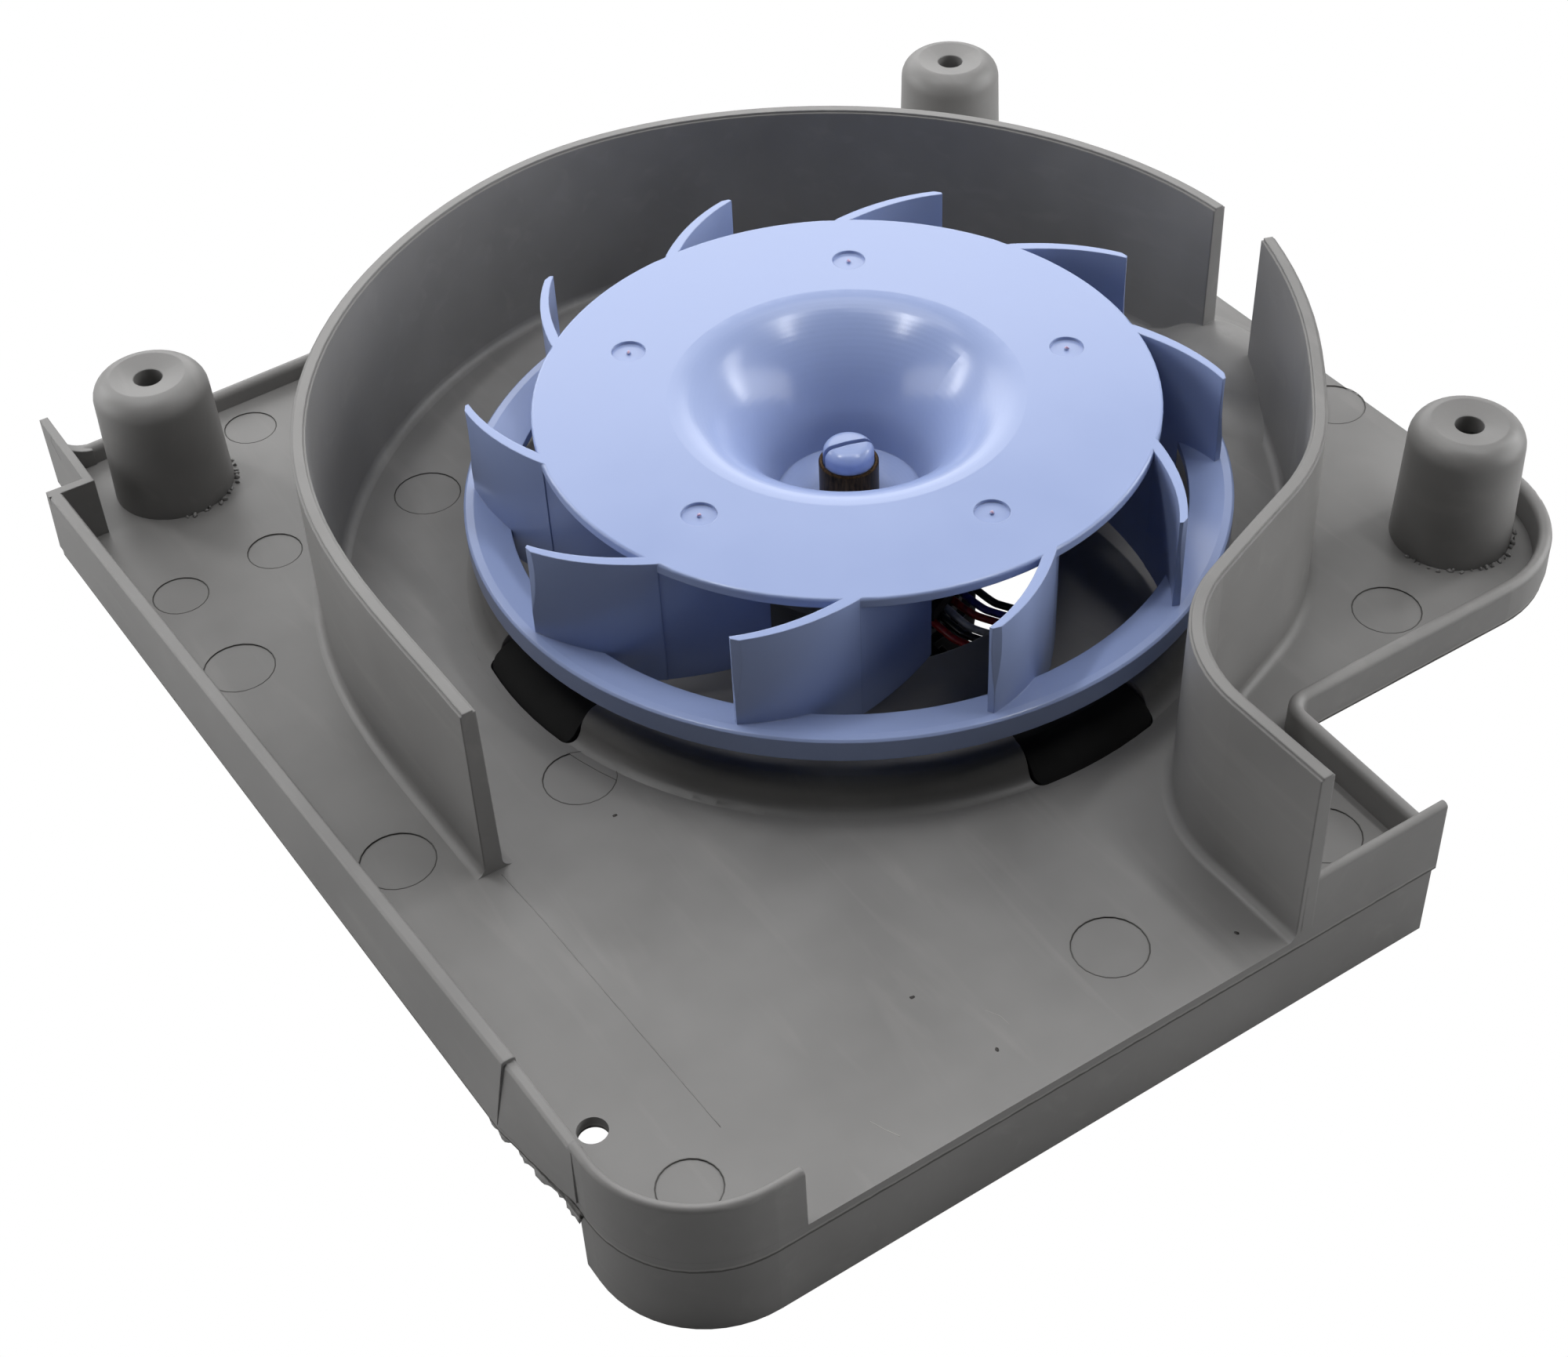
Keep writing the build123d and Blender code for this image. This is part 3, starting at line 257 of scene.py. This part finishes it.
# Impeller: light blue ABS, injection moulded. Smoother than the housing, with turned rings in its bowl
impellerLook = {
    "base": "94A4CE", "pale": "96A6D0", "dark": "92A2CC",
    "roughness": 0.22, "ior": 1.53, "grain": 0.4, "relief": 0.06, "drift": 30, "edge": 0.3,
    "ringPitch": 0.8,     # the real rings are near 0.1 mm: drawn coarser, so that they show
    "ringRelief": 0.05, "ringDepth": 0.05,
    "bowlRadius": 31.0, "bowlFade": 2,
}
impellerBlue, tree, shader, place, _, relief = mouldedPlastic("BlueMouldedAbs", impellerLook)
fromAxis = add(tree, "VectorMath", {0: place, 1: (axisX, axisY, 0)}, operation="SUBTRACT")
flat = add(tree, "VectorMath", {0: fromAxis.outputs[0], 1: (1, 1, 0)}, operation="MULTIPLY")
radius = add(tree, "VectorMath", {0: flat.outputs[0]}, operation="LENGTH")
phase = add(tree, "Math", {
    0: radius.outputs["Value"], 1: 2 * pi / (impellerLook["ringPitch"] * mm)}, operation="MULTIPLY")
rings = add(tree, "Math", {0: phase.outputs[0]}, operation="SINE")
inBowl = add(tree, "MapRange", {
    "Value": radius.outputs["Value"], "From Min": impellerLook["bowlRadius"] * mm,
    "From Max": (impellerLook["bowlRadius"] - impellerLook["bowlFade"]) * mm})
bowlRings = add(tree, "Math", {0: rings.outputs[0], 1: inBowl.outputs["Result"]}, operation="MULTIPLY")
ringRelief = add(tree, "Bump", {
    "Strength": impellerLook["ringRelief"], "Distance": impellerLook["ringDepth"] * mm,
    "Height": bowlRings.outputs[0], "Normal": relief.outputs["Normal"]})
tree.links.new(ringRelief.outputs["Normal"], shader.inputs["Normal"])
dress(impellerBlue, "impeller")
print("impeller dressed")

# Plastics of the motor, its bracket, feet and plug, each with the pieces that it dresses
plasticLooks = {
    "GlossBlackBracket": {   # glass-filled nylon, moulded: black with a soft gloss
        "base": "141414", "pale": "1B1B1B", "dark": "0E0E0E",
        "roughness": 0.34, "ior": 1.53, "grain": 0.5, "relief": 0.1, "drift": 10, "edge": 0.3,
        "on": ("motor_bracket", "lead_tie")},
    "MattBlackRubber": {     # vulcanised rubber, moulded: swallows light, a faint bloom
        "base": "0C0C0C", "pale": "121111", "dark": "090909",
        "roughness": 0.82, "ior": 1.5, "grain": 0.3, "relief": 0.2, "drift": 6, "edge": 0.2,
        "on": ("foot_cushions", "lead_grommet")},
    "DarkGreyCase": {        # PBT, moulded: satin grey, a shade darker than the housing
        "base": "55575A", "pale": "5D5F62", "dark": "4E5053",
        "roughness": 0.46, "ior": 1.57, "grain": 0.4, "relief": 0.14, "drift": 9, "edge": 0.3,
        "on": ("motor_case_lower", "motor_case_upper")},
    "NaturalNylon": {        # nylon, moulded, undyed: warm off-white
        "base": "D8D3C2", "pale": "E0DCCD", "dark": "CEC8B4",
        "roughness": 0.4, "ior": 1.53, "grain": 0.3, "relief": 0.06, "drift": 5, "edge": 0.15,
        "on": ("slinger_washer", "thrust_plate", "plug_housing")},
    "CreamInsulator": {      # PBT, moulded: cream, satin
        "base": "CFC8AE", "pale": "D8D2BC", "dark": "C4BCA0",
        "roughness": 0.45, "ior": 1.57, "grain": 0.3, "relief": 0.08, "drift": 5, "edge": 0.15,
        "on": ("winding_insulators",)},
    "ChipEpoxy": {           # filled epoxy, moulded: matt near-black
        "base": "17171A", "pale": "1E1E21", "dark": "111113",
        "roughness": 0.6, "ior": 1.55, "grain": 0.2, "relief": 0.2, "drift": 3, "edge": 0.1,
        "on": ("driver_chip",)},
    "DippedCapacitor": {     # epoxy coat, dipped: glossy ochre
        "base": "A86E2C", "pale": "B57A36", "dark": "985F22",
        "roughness": 0.22, "ior": 1.55, "grain": 0.5, "relief": 0.05, "drift": 3, "edge": 0.3,
        "on": ("smoothing_capacitor",)},
}
for name, look in plasticLooks.items():
    dress(mouldedPlastic(name, look)[0], *look["on"])

# Metals of the shaft, bushes, screws, contacts and the rotor's and stator's cores
metalLooks = {
    "OilBlackenedSleeve": {  # steel, turned and oil blackened: dark brown, soft gleam on its rim
        "pale": "5A4630", "dark": "2B2219", "roughness": 0.42, "streak": 0.5, "relief": 0.1,
        "stretch": (1, 1, 0.2), "on": ("clamp_sleeve",)},
    "GroundSteel": {         # steel, ground: bright, fine rings round it
        "pale": "C4C5C6", "dark": "A4A5A8", "roughness": 0.25, "streak": 0.3, "relief": 0.08,
        "stretch": (0.2, 0.2, 3), "on": ("shaft",)},
    "BlackenedSpring": {     # spring steel, blued: dark, oily
        "pale": "4A4744", "dark": "2E2C2B", "roughness": 0.38, "streak": 0.5, "relief": 0.06,
        "stretch": (1, 1, 1), "on": ("retaining_clip",)},
    "ZincPlated": {          # steel, bright zinc plated: pale with a cool cast
        "pale": "C9CAC6", "dark": "A9AAA8", "roughness": 0.34, "streak": 0.6, "relief": 0.1,
        "stretch": (1, 1, 1), "on": ("foot_screws", "case_screws", "bracket_screws")},
    "SinteredBronze": {      # bronze powder, pressed and sintered: open pores, oil-soaked
        "pale": "A27B4A", "dark": "6E4F2C", "roughness": 0.5, "streak": 0.15, "relief": 0.35,
        "stretch": (1, 1, 1), "on": ("upper_bush", "lower_bush", "rotor_spacer")},
    "PunchedLaminations": {  # electrical steel, punched and stacked: lines of 0.5 mm sheets
        "pale": "8B8D91", "dark": "55575C", "roughness": 0.4, "streak": 0.5, "relief": 0.4,
        "stretch": (0.05, 0.05, 1), "on": ("stator_core", "rotor_core")},
    "SinteredFerrite": {     # ferrite, pressed and fired: near-black, faintly metallic
        "pale": "2C2C2F", "dark": "1B1B1D", "roughness": 0.55, "streak": 0.3, "relief": 0.2,
        "stretch": (1, 1, 1), "on": ("rotor_magnet",)},
    "TinnedBrass": {         # brass, tin plated: warm pale grey
        "pale": "CBC8BC", "dark": "A8A597", "roughness": 0.36, "streak": 0.4, "relief": 0.06,
        "stretch": (1, 1, 1), "on": ("plug_contacts",)},
    "EnamelledWinding": {    # copper wire, enamelled and wound: lines of 0.35 mm wire
        "pale": "B8632E", "dark": "6E3415", "roughness": 0.3, "streak": 0.35, "relief": 0.8,
        "stretch": (0.1, 0.1, 1), "on": ("stator_coils",)},
}
for name, look in metalLooks.items():
    dress(workedMetal(name, look), *look["on"])

# Circuit board: glass-epoxy laminate under green solder resist, with copper tracks showing through
boardLook = {
    "resist": "1F5A35", "track": "3C8A52", "trackPitch": 1.6, "trackWidth": 0.12,
    "relief": 0.2, "trackHeight": 0.03, "roughness": 0.3, "ior": 1.5,
}
boardGreen, tree, shader, place = startMaterial("GreenSolderResist")
cells = add(tree, "TexBrick", {
    "Vector": place, "Color1": linear(boardLook["resist"]), "Color2": linear(boardLook["resist"]),
    "Mortar": linear(boardLook["track"]), "Scale": 1 / (boardLook["trackPitch"] * mm),
    "Mortar Size": boardLook["trackWidth"]})
relief = add(tree, "Bump", {
    "Strength": boardLook["relief"], "Distance": boardLook["trackHeight"] * mm,
    "Height": cells.outputs["Fac"]})
feed(tree, shader, {
    "Base Color": cells.outputs["Color"], "Normal": relief.outputs["Normal"],
    "Roughness": boardLook["roughness"], "IOR": boardLook["ior"]})
dress(boardGreen, "circuit_board")
print("motor dressed")

# Camera at the photo's place: solved from the impeller's rim, blade tips and wall tops
view = {
    "eye": (-195.8, -297.8, 299.0), "heading": 34.25, "pitch": 43.23, "roll": -0.78,
    "lens": 56.92, "shift": (-0.0634, 0.003),
}
camera = bpy.data.cameras.new("Camera")
camera.sensor_fit = "HORIZONTAL"
camera.sensor_width = 36.0
camera.lens = view["lens"]
camera.shift_x, camera.shift_y = view["shift"]
camera.clip_start = 0.01
cameraObject = bpy.data.objects.new("Camera", camera)
bpy.context.scene.collection.objects.link(cameraObject)
turn = Matrix.Rotation(-radians(view["heading"]), 4, "Z")
turn = turn @ Matrix.Rotation(radians(90 - view["pitch"]), 4, "X")
turn = turn @ Matrix.Rotation(radians(view["roll"]), 4, "Z")
cameraObject.matrix_world = Matrix.Translation(at(*view["eye"])) @ turn
bpy.context.scene.camera = cameraObject

# Six leads from the motor's grommet to the plug clipped under the floor: PVC over stranded wire,
# extruded, so each has a soft gloss and faint lines. Colours and length in mm, in the leads' order
leads = {
    "lead_red_a": ("B3201F", "8E1615", 87.4),
    "lead_black_a": ("19191C", "101012", 87.9),
    "lead_white": ("D8D7D2", "C4C3BD", 88.6),
    "lead_red_b": ("B3201F", "8E1615", 89.1),
    "lead_blue": ("4A46A8", "37348A", 90.9),
    "lead_black_b": ("19191C", "101012", 93.7),
}
pvcLook = {
    "line": 1.2, "detail": 2.0, "darkAt": 0.35, "paleAt": 0.65,     # mm from line to line
    "relief": 0.1, "depth": 0.03, "roughness": 0.32, "ior": 1.54,   # mm deep
}
leadRun = {
    "radius": 0.75, "startReach": 17.4, "z": -4.3,
    "exitX": (2.6, 4.7, 6.8, 9.0, 11.6, 14.2), "exitY": -24.0,
    "spreadX": (3.4, 5.5, 7.6, 11.8, 13.9, 16.4), "spreadY": -31.0, "spreadDip": 0.5,
    "gatherX": 15.4, "gatherPitch": 2.1, "gatherY": (-44.0, -72.0), "gatherZ": -5.7,
    "stagger": 0.8, "pinX": 20.0, "pinPitch": 2.5, "pinY": (-84.0, -100.0), "pinZ": -5.7,
}


def pvc(name, pale, dark):
    made, tree, shader, place = startMaterial(name)
    lines = add(tree, "TexNoise", {
        "Vector": place, "Scale": 1 / (pvcLook["line"] * mm), "Detail": pvcLook["detail"]})
    tone = add(tree, "ValToRGB", {"Fac": lines.outputs["Fac"]}, stops=[
        (pvcLook["darkAt"], linear(dark)), (pvcLook["paleAt"], linear(pale))])
    relief = add(tree, "Bump", {
        "Strength": pvcLook["relief"], "Distance": pvcLook["depth"] * mm, "Height": lines.outputs["Fac"]})
    feed(tree, shader, {
        "Base Color": tone.outputs["Color"], "Normal": relief.outputs["Normal"],
        "Roughness": pvcLook["roughness"], "IOR": pvcLook["ior"]})
    return made


def makeLead(k, name, pale, dark):
    run = leadRun
    startY = -(run["startReach"] ** 2 - run["exitX"][k] ** 2) ** 0.5
    gatherX = run["gatherX"] + k * run["gatherPitch"]
    pinX = run["pinX"] + (k - (len(leads) - 1) / 2) * run["pinPitch"]
    lag = k * run["stagger"]
    route = [
        at(run["exitX"][k], startY, run["z"]),
        at(run["exitX"][k], run["exitY"], run["z"]),
        at(run["spreadX"][k], run["spreadY"] + lag, run["z"] - run["spreadDip"]),
        at(gatherX, run["gatherY"][0] + lag, run["gatherZ"]),
        at(gatherX, run["gatherY"][1], run["gatherZ"]),
        at(pinX, run["pinY"][0], run["pinZ"]),
        at(pinX, run["pinY"][1], run["pinZ"]),
    ]
    curve = bpy.data.curves.new(name + "_cord", "CURVE")
    curve.dimensions = "3D"
    curve.bevel_depth = run["radius"] * mm
    curve.bevel_resolution = 4
    curve.use_fill_caps = True
    spline = curve.splines.new("NURBS")
    spline.points.add(len(route) - 1)
    for point, spot in zip(spline.points, route):
        point.co = (*spot, 1.0)
    spline.order_u = 3
    spline.use_endpoint_u = True
    spline.resolution_u = 12
    curve.materials.append(pvc(name + "_Pvc", pale, dark))
    made = bpy.data.objects.new(name + "_cord", curve)
    bpy.context.scene.collection.objects.link(made)
    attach(made, "housing")
    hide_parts(name)


for k, (name, (pale, dark, length)) in enumerate(leads.items()):
    makeLead(k, name, pale, dark)
print("leads laid")


def linkPiece(name, shape, material, body, smooth=True):
    mesh = bpy.data.meshes.new(name)
    shape.to_mesh(mesh)
    shape.free()
    for face in mesh.polygons:
        face.use_smooth = smooth
    mesh.materials.append(material)
    made = bpy.data.objects.new(name, mesh)
    bpy.context.scene.collection.objects.link(made)
    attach(made, body)
    return made


def skin(shape, rows):
    # faces from each row of corners to the next, and one over each end
    count = len(rows[0])
    for first, second in zip(rows, rows[1:]):
        for k in range(count):
            after = (k + 1) % count
            shape.faces.new((first[k], first[after], second[after], second[k]))
    shape.faces.new(rows[0])
    shape.faces.new(list(reversed(rows[-1])))
    bmesh.ops.recalc_face_normals(shape, faces=shape.faces)


# The solids have a small slot through the stepped-in lip, near its tip, that the real lip lacks:
# this piece closes it, flush with the lip's two faces
fillerLook = {
    "x": (-113.98, -112.42),
    "section": ((99.26, 8.17), (103.07, 10.37), (102.02, 12.19), (98.21, 9.99)),
}
shape = bmesh.new()
skin(shape, [[shape.verts.new(at(x, y, z)) for y, z in fillerLook["section"]] for x in fillerLook["x"]])
linkPiece("lipFiller", shape, housingGrey, "housing", smooth=False)

# Torn bits of plastic: shares of their own size, and how far the noise that swells them moves
lumpLook = {"slim": 0.65, "seat": -0.15, "swell": 0.5, "swellScale": 1.3, "shift": 9}


def crumbs(name, spots, material, body, seed):
    # each bit is an uneven low lump, seated on its spot
    chance = Random(seed)
    shape = bmesh.new()
    for spot, size, height in spots:
        lump = bmesh.ops.create_icosphere(shape, subdivisions=2, radius=1.0)
        turn = Matrix.Rotation(chance.uniform(0, 2 * pi), 3, "Z")
        shift = Vector((chance.uniform(0, lumpLook["shift"]), chance.uniform(0, lumpLook["shift"]), 0))
        for vert in lump["verts"]:
            swell = 1 + lumpLook["swell"] * noise(vert.co * lumpLook["swellScale"] + shift)
            low = max(vert.co.z, lumpLook["seat"])
            stretched = Vector((vert.co.x * size, vert.co.y * size * lumpLook["slim"], low * height))
            vert.co = spot + turn @ stretched * swell * mm
    return linkPiece(name, shape, material, body)


# Crumbs of flash round the feet of the left and right bosses
bossCrumbs = {
    "leftBoss": {"centre": (-96.2, 91.0), "arc": (-100, 10), "count": 15, "radius": 11.6, "seed": 4},
    "rightBoss": {"centre": (93.5, -62.3), "arc": (-175, -30), "count": 20, "radius": 11.6, "seed": 7},
}
crumbSpread = {"along": 0.35, "out": (-0.2, 0.5), "size": (0.25, 0.75), "height": (0.3, 0.8)}
for name, look in bossCrumbs.items():
    chance = Random(look["seed"])
    spots = []
    for k in range(look["count"]):
        share = (k + chance.uniform(-crumbSpread["along"], crumbSpread["along"])) / (look["count"] - 1)
        deg = look["arc"][0] + share * (look["arc"][1] - look["arc"][0])
        reach = look["radius"] + chance.uniform(*crumbSpread["out"])
        x = look["centre"][0] + reach * cos(radians(deg))
        y = look["centre"][1] + reach * sin(radians(deg))
        size = chance.uniform(*crumbSpread["size"])
        height = chance.uniform(*crumbSpread["height"])
        spots.append((at(x, y), size, height))
    crumbs(name + "Crumbs", spots, housingGrey, "housing", look["seed"])

# Dark specks of burnt plastic in the floor
speckLook = {
    "spots": ((-71.7, -35.4), (-53.7, -95.9), (-49.1, -111.7), (-4.1, -114.9), (2.7, -118.3)),
    "size": 0.45, "height": 0.1, "seed": 11,
}
burnt = mouldedPlastic("BurntSpeck", {
    "base": "2A2724", "pale": "35312D", "dark": "1F1D1B", "roughness": 0.5, "ior": 1.49,
    "grain": 0.3, "relief": 0.1, "drift": 2, "edge": 0.05})[0]
specks = [(at(x, y), speckLook["size"], speckLook["height"]) for x, y in speckLook["spots"]]
crumbs("floorSpecks", specks, burnt, "housing", speckLook["seed"])

# Torn gate pips in the impeller's five recesses: a little pinkish where the plastic was strained
pipLook = {"count": 5, "ring": 41.8, "phase": 55.4, "z": 34.95, "size": 0.42, "height": 0.35, "seed": 3}
strained = mouldedPlastic("StrainedAbs", {
    "base": "C9A9BE", "pale": "DCC0CC", "dark": "A88FBE", "roughness": 0.4, "ior": 1.53,
    "grain": 0.3, "relief": 0.1, "drift": 1, "edge": 0.05})[0]
pips = [(polar(pipLook["ring"], pipLook["phase"] + k * 360 / pipLook["count"], pipLook["z"]),
         pipLook["size"], pipLook["height"]) for k in range(pipLook["count"])]
crumbs("gatePips", pips, strained, "rotor", pipLook["seed"])

# How flash tears: step in mm, then shares of its depth, and the share of its thickness left at the tip
tearing = {
    "step": 0.7, "reach": 0.62, "swing": 0.55, "swingScale": 450, "jitter": 0.12,
    "least": 0.08, "most": 1, "tipShare": 0.3,
}


def ragged(name, path, depth, thick, seed, material):
    # a torn fin of flash along a path of points, each with its way out: its free edge is uneven
    chance = Random(seed)
    shape = bmesh.new()
    rows = []
    foot = Vector((0, 0, thick / 2 * mm))
    for (a, outA), (b, outB) in zip(path, path[1:]):
        steps = max(2, int((b - a).length / (tearing["step"] * mm)))
        for k in range(steps):
            spot = a.lerp(b, k / steps)
            out = outA.lerp(outB, k / steps).normalized()
            torn = tearing["reach"] + tearing["swing"] * noise(spot * tearing["swingScale"])
            torn += chance.uniform(-tearing["jitter"], tearing["jitter"])
            tip = spot + out * min(max(torn, tearing["least"]), tearing["most"]) * depth * mm
            corners = (spot + foot, tip + foot * tearing["tipShare"],
                       tip - foot * tearing["tipShare"], spot - foot)
            rows.append([shape.verts.new(corner) for corner in corners])
    skin(shape, rows)
    return linkPiece(name, shape, material, "housing")


# Flash is stretched as it tears, so it is paler than the wall it hangs on
flashPale = mouldedPlastic("TornFlash", {
    "base": "95938F", "pale": "A6A4A0", "dark": "86847F", "roughness": 0.5, "ior": 1.49,
    "grain": 0.4, "relief": 0.2, "drift": 4, "edge": 0.05})[0]

# Torn flash under the left edge, ahead of the skirt
flashLook = {
    "path": ((-117.3, -76.0, -2.1), (-116.6, -84.0, -2.1), (-115.4, -94.0, -2.1), (-115.0, -101.0, -2.1)),
    "out": (-0.55, -0.05, -0.8), "depth": 1.9, "thick": 0.7, "seed": 21,
}
ragged("cornerFlash", [(at(*p), Vector(flashLook["out"])) for p in flashLook["path"]],
       flashLook["depth"], flashLook["thick"], flashLook["seed"], housingGrey)

# Thin fin under the parting ledge, round the corner and along the front
partingLook = {
    "centre": (-95.0, -101.5), "radius": 19.5, "z": -2.16, "frontEnd": 33.0,
    "points": 13, "step": 7.5, "depth": 0.47, "thick": 0.3, "seed": 5,
}
partingPath = []
for k in range(partingLook["points"]):
    deg = partingLook["step"] * k
    out = Vector((-cos(radians(deg)), -sin(radians(deg)), 0))
    spot = at(*partingLook["centre"], partingLook["z"]) + out * partingLook["radius"] * mm
    partingPath.append((spot, out))
frontY = partingLook["centre"][1] - partingLook["radius"]
partingPath.append((at(partingLook["frontEnd"], frontY, partingLook["z"]), Vector((0, -1, 0))))
ragged("partingFin", partingPath, partingLook["depth"], partingLook["thick"],
       partingLook["seed"], flashPale)

# Witness lines: points for each leg, mm sunk in the floor, and how uneven their crest is
witness = {"perLeg": 12, "sink": 0.02, "crest": 0.7, "swing": 0.6, "swingScale": 0.4}


def strip(name, path, half, lift, material):
    # a low witness line on the floor along a path in mm: plastic pressed into a gap of the mould
    shape = bmesh.new()
    rows = []
    for (x0, y0), (x1, y1) in zip(path, path[1:]):
        sideways = Vector((y0 - y1, x1 - x0, 0)).normalized() * half
        for k in range(witness["perLeg"]):
            x = x0 + (x1 - x0) * k / witness["perLeg"]
            y = y0 + (y1 - y0) * k / witness["perLeg"]
            uneven = noise(Vector((x, y, 0)) * witness["swingScale"])
            top = lift * (witness["crest"] + witness["swing"] * uneven)
            section = ((-1, -witness["sink"]), (0, top), (1, -witness["sink"]))
            rows.append([shape.verts.new(at(x + side * sideways.x, y + side * sideways.y, z))
                         for side, z in section])
    skin(shape, rows)
    return linkPiece(name, shape, material, "housing")


# Line across the floor where the mould's insert ends, and two pale scratches by the front edge
lineLooks = {
    "insertLine": {
        "path": ((-93.5, -36.2), (-92.8, -48.1), (-91.9, -76.0), (-91.1, -101.9)),
        "half": 0.14, "lift": 0.07, "material": housingGrey},
    "scratchA": {
        "path": ((-72.5, -111.6), (-71.6, -114.0), (-70.3, -116.6)),
        "half": 0.12, "lift": 0.03, "material": flashPale},
    "scratchB": {
        "path": ((-46.0, -104.5), (-44.8, -106.8), (-44.6, -109.0)),
        "half": 0.1, "lift": 0.03, "material": flashPale},
}
for name, look in lineLooks.items():
    strip(name, look["path"], look["half"], look["lift"], look["material"])

# Ejector pins leave a crisp ring of flash: the low raised ring is real, its dark colour is painted shade
# of the step beside it
pinLook = {
    "large": ((-107.9, 34.8), (-106.0, -23.7), (-72.1, -24.3), (-57.8, 59.7),
              (-22.3, -105.6), (68.7, -71.8), (21.7, -107.0), (102.7, -20.2)),
    "largeRadius": 6.35,
    "small": ((-89.1, 60.9), (-108.6, 59.2), (-77.0, 98.8), (-100.5, -106.2)),
    "smallRadius": 5.1,
    "half": 0.13, "lift": 0.08, "step": 15,
}
# dark grey: painted shade of the step round each pin mark, not the plastic's own colour
pinPaintedShade = mouldedPlastic("PinRingPaintedShade", {
    "base": "4B4A48", "pale": "5A5957", "dark": "3D3C3A", "roughness": 0.5, "ior": 1.49,
    "grain": 0.4, "relief": 0.1, "drift": 5, "edge": 0.05})[0]
pins = [(x, y, pinLook["largeRadius"]) for x, y in pinLook["large"]]
pins += [(x, y, pinLook["smallRadius"]) for x, y in pinLook["small"]]
for k, (x, y, r) in enumerate(pins):
    turns = [radians(deg) for deg in range(0, 361, pinLook["step"])]
    ring = [(x + r * cos(turned), y + r * sin(turned)) for turned in turns]
    strip("pinPaintedShadeRing" + str(k), ring, pinLook["half"], pinLook["lift"], pinPaintedShade)
print("flash, crumbs and specks made")


def whiteToCamera(tree, lit, kind, output):
    # plain white where the camera looks straight at it, and lit for all else
    lightPath = add(tree, "LightPath")
    white = add(tree, kind, {"Color": grey(1), "Strength": 1.0})
    shown = add(tree, "MixShader", {
        0: lightPath.outputs["Is Camera Ray"], 1: lit.outputs[0], 2: white.outputs[0]})
    tree.links.new(shown.outputs[0], tree.nodes[output].inputs["Surface"])


# White studio, open towards the camera: what faces the camera is the darkest, as in a light tent
studio = {
    "open": (-0.41, -0.602, 0.685),                      # the way the tent is open
    "light": ((0.0, 0.62), (0.25, 0.14), (0.6, 0.0)),    # far side, sides, open side
}
world = bpy.data.worlds.new("Studio")
world.use_nodes = True
tree = world.node_tree
sky = tree.nodes["Background"]
towards = add(tree, "TexCoord").outputs["Generated"]
facing = add(tree, "VectorMath", {0: towards, 1: studio["open"]}, operation="DOT_PRODUCT")
tent = add(tree, "ValToRGB", {"Fac": facing.outputs["Value"]}, stops=[
    (position, grey(strength)) for position, strength in studio["light"]])
feed(tree, sky, {"Color": grey(1), "Strength": tent.outputs["Color"]})
whiteToCamera(tree, sky, "Background", "World Output")
bpy.context.scene.world = world
bpy.context.scene.view_settings.view_transform = "Standard"

# Softboxes aimed at the part: name, place in mm, size in m, watts
softboxes = (
    ("LeftSoftbox", (-560, 380, 170), (0.7, 0.5), 2.2),
    ("RightSoftbox", (590, -380, 200), (0.7, 0.5), 3.1),
    ("BackSoftbox", (260, 640, 330), (0.8, 0.4), 2.2),
    ("TopSoftbox", (60, 200, 700), (0.5, 0.4), 1.2),
    ("RightWindow", (548, -80, 340), (0.08, 0.36), 0.7),
    ("LeftWindow", (-276, 480, 340), (0.08, 0.36), 0.7),
)
aim = (0, 0, 10)

# Narrow lamps overhead that draw the two streaks down the bowl, with their turn in degrees
strips = (
    ("RightStrip", (185, -150, 600), (0.035, 0.33), 0.9, 0),
    ("LeftStrip", (-213, 112, 600), (0.035, 0.33), 0.9, -63),
)


def makeLamp(name, place, size, power):
    lamp = bpy.data.lights.new(name, "AREA")
    lamp.shape = "RECTANGLE"
    lamp.size, lamp.size_y = size
    lamp.energy = power
    made = bpy.data.objects.new(name, lamp)
    made.location = at(*place)
    bpy.context.scene.collection.objects.link(made)
    return made


for name, place, size, power in softboxes:
    lookAt = (at(*aim) - at(*place)).to_track_quat("-Z", "Y")
    makeLamp(name, place, size, power).rotation_euler = lookAt.to_euler()
for name, place, size, power, turned in strips:
    makeLamp(name, place, size, power).rotation_euler = (0, 0, radians(turned))

# Pale floor under the skirt, plain white to the camera
paperLook = {"half": 1.6, "gap": 0.2 * mm, "colour": 0.45, "roughness": 0.9}
paperMesh = bpy.data.meshes.new("StudioFloor")
paperZ = cadLow[2] - paperLook["gap"]
half = paperLook["half"]
corners = [(axisX + x * half, axisY + y * half, paperZ) for x, y in ((-1, -1), (1, -1), (1, 1), (-1, 1))]
paperMesh.from_pydata(corners, [], [(0, 1, 2, 3)])
paperObject = bpy.data.objects.new("StudioFloor", paperMesh)
bpy.context.scene.collection.objects.link(paperObject)
paper, tree, shader, _ = startMaterial("WhitePaper")
feed(tree, shader, {"Base Color": grey(paperLook["colour"]), "Roughness": paperLook["roughness"]})
whiteToCamera(tree, shader, "Emission", "Material Output")
paperMesh.materials.append(paper)
print("studio lit")
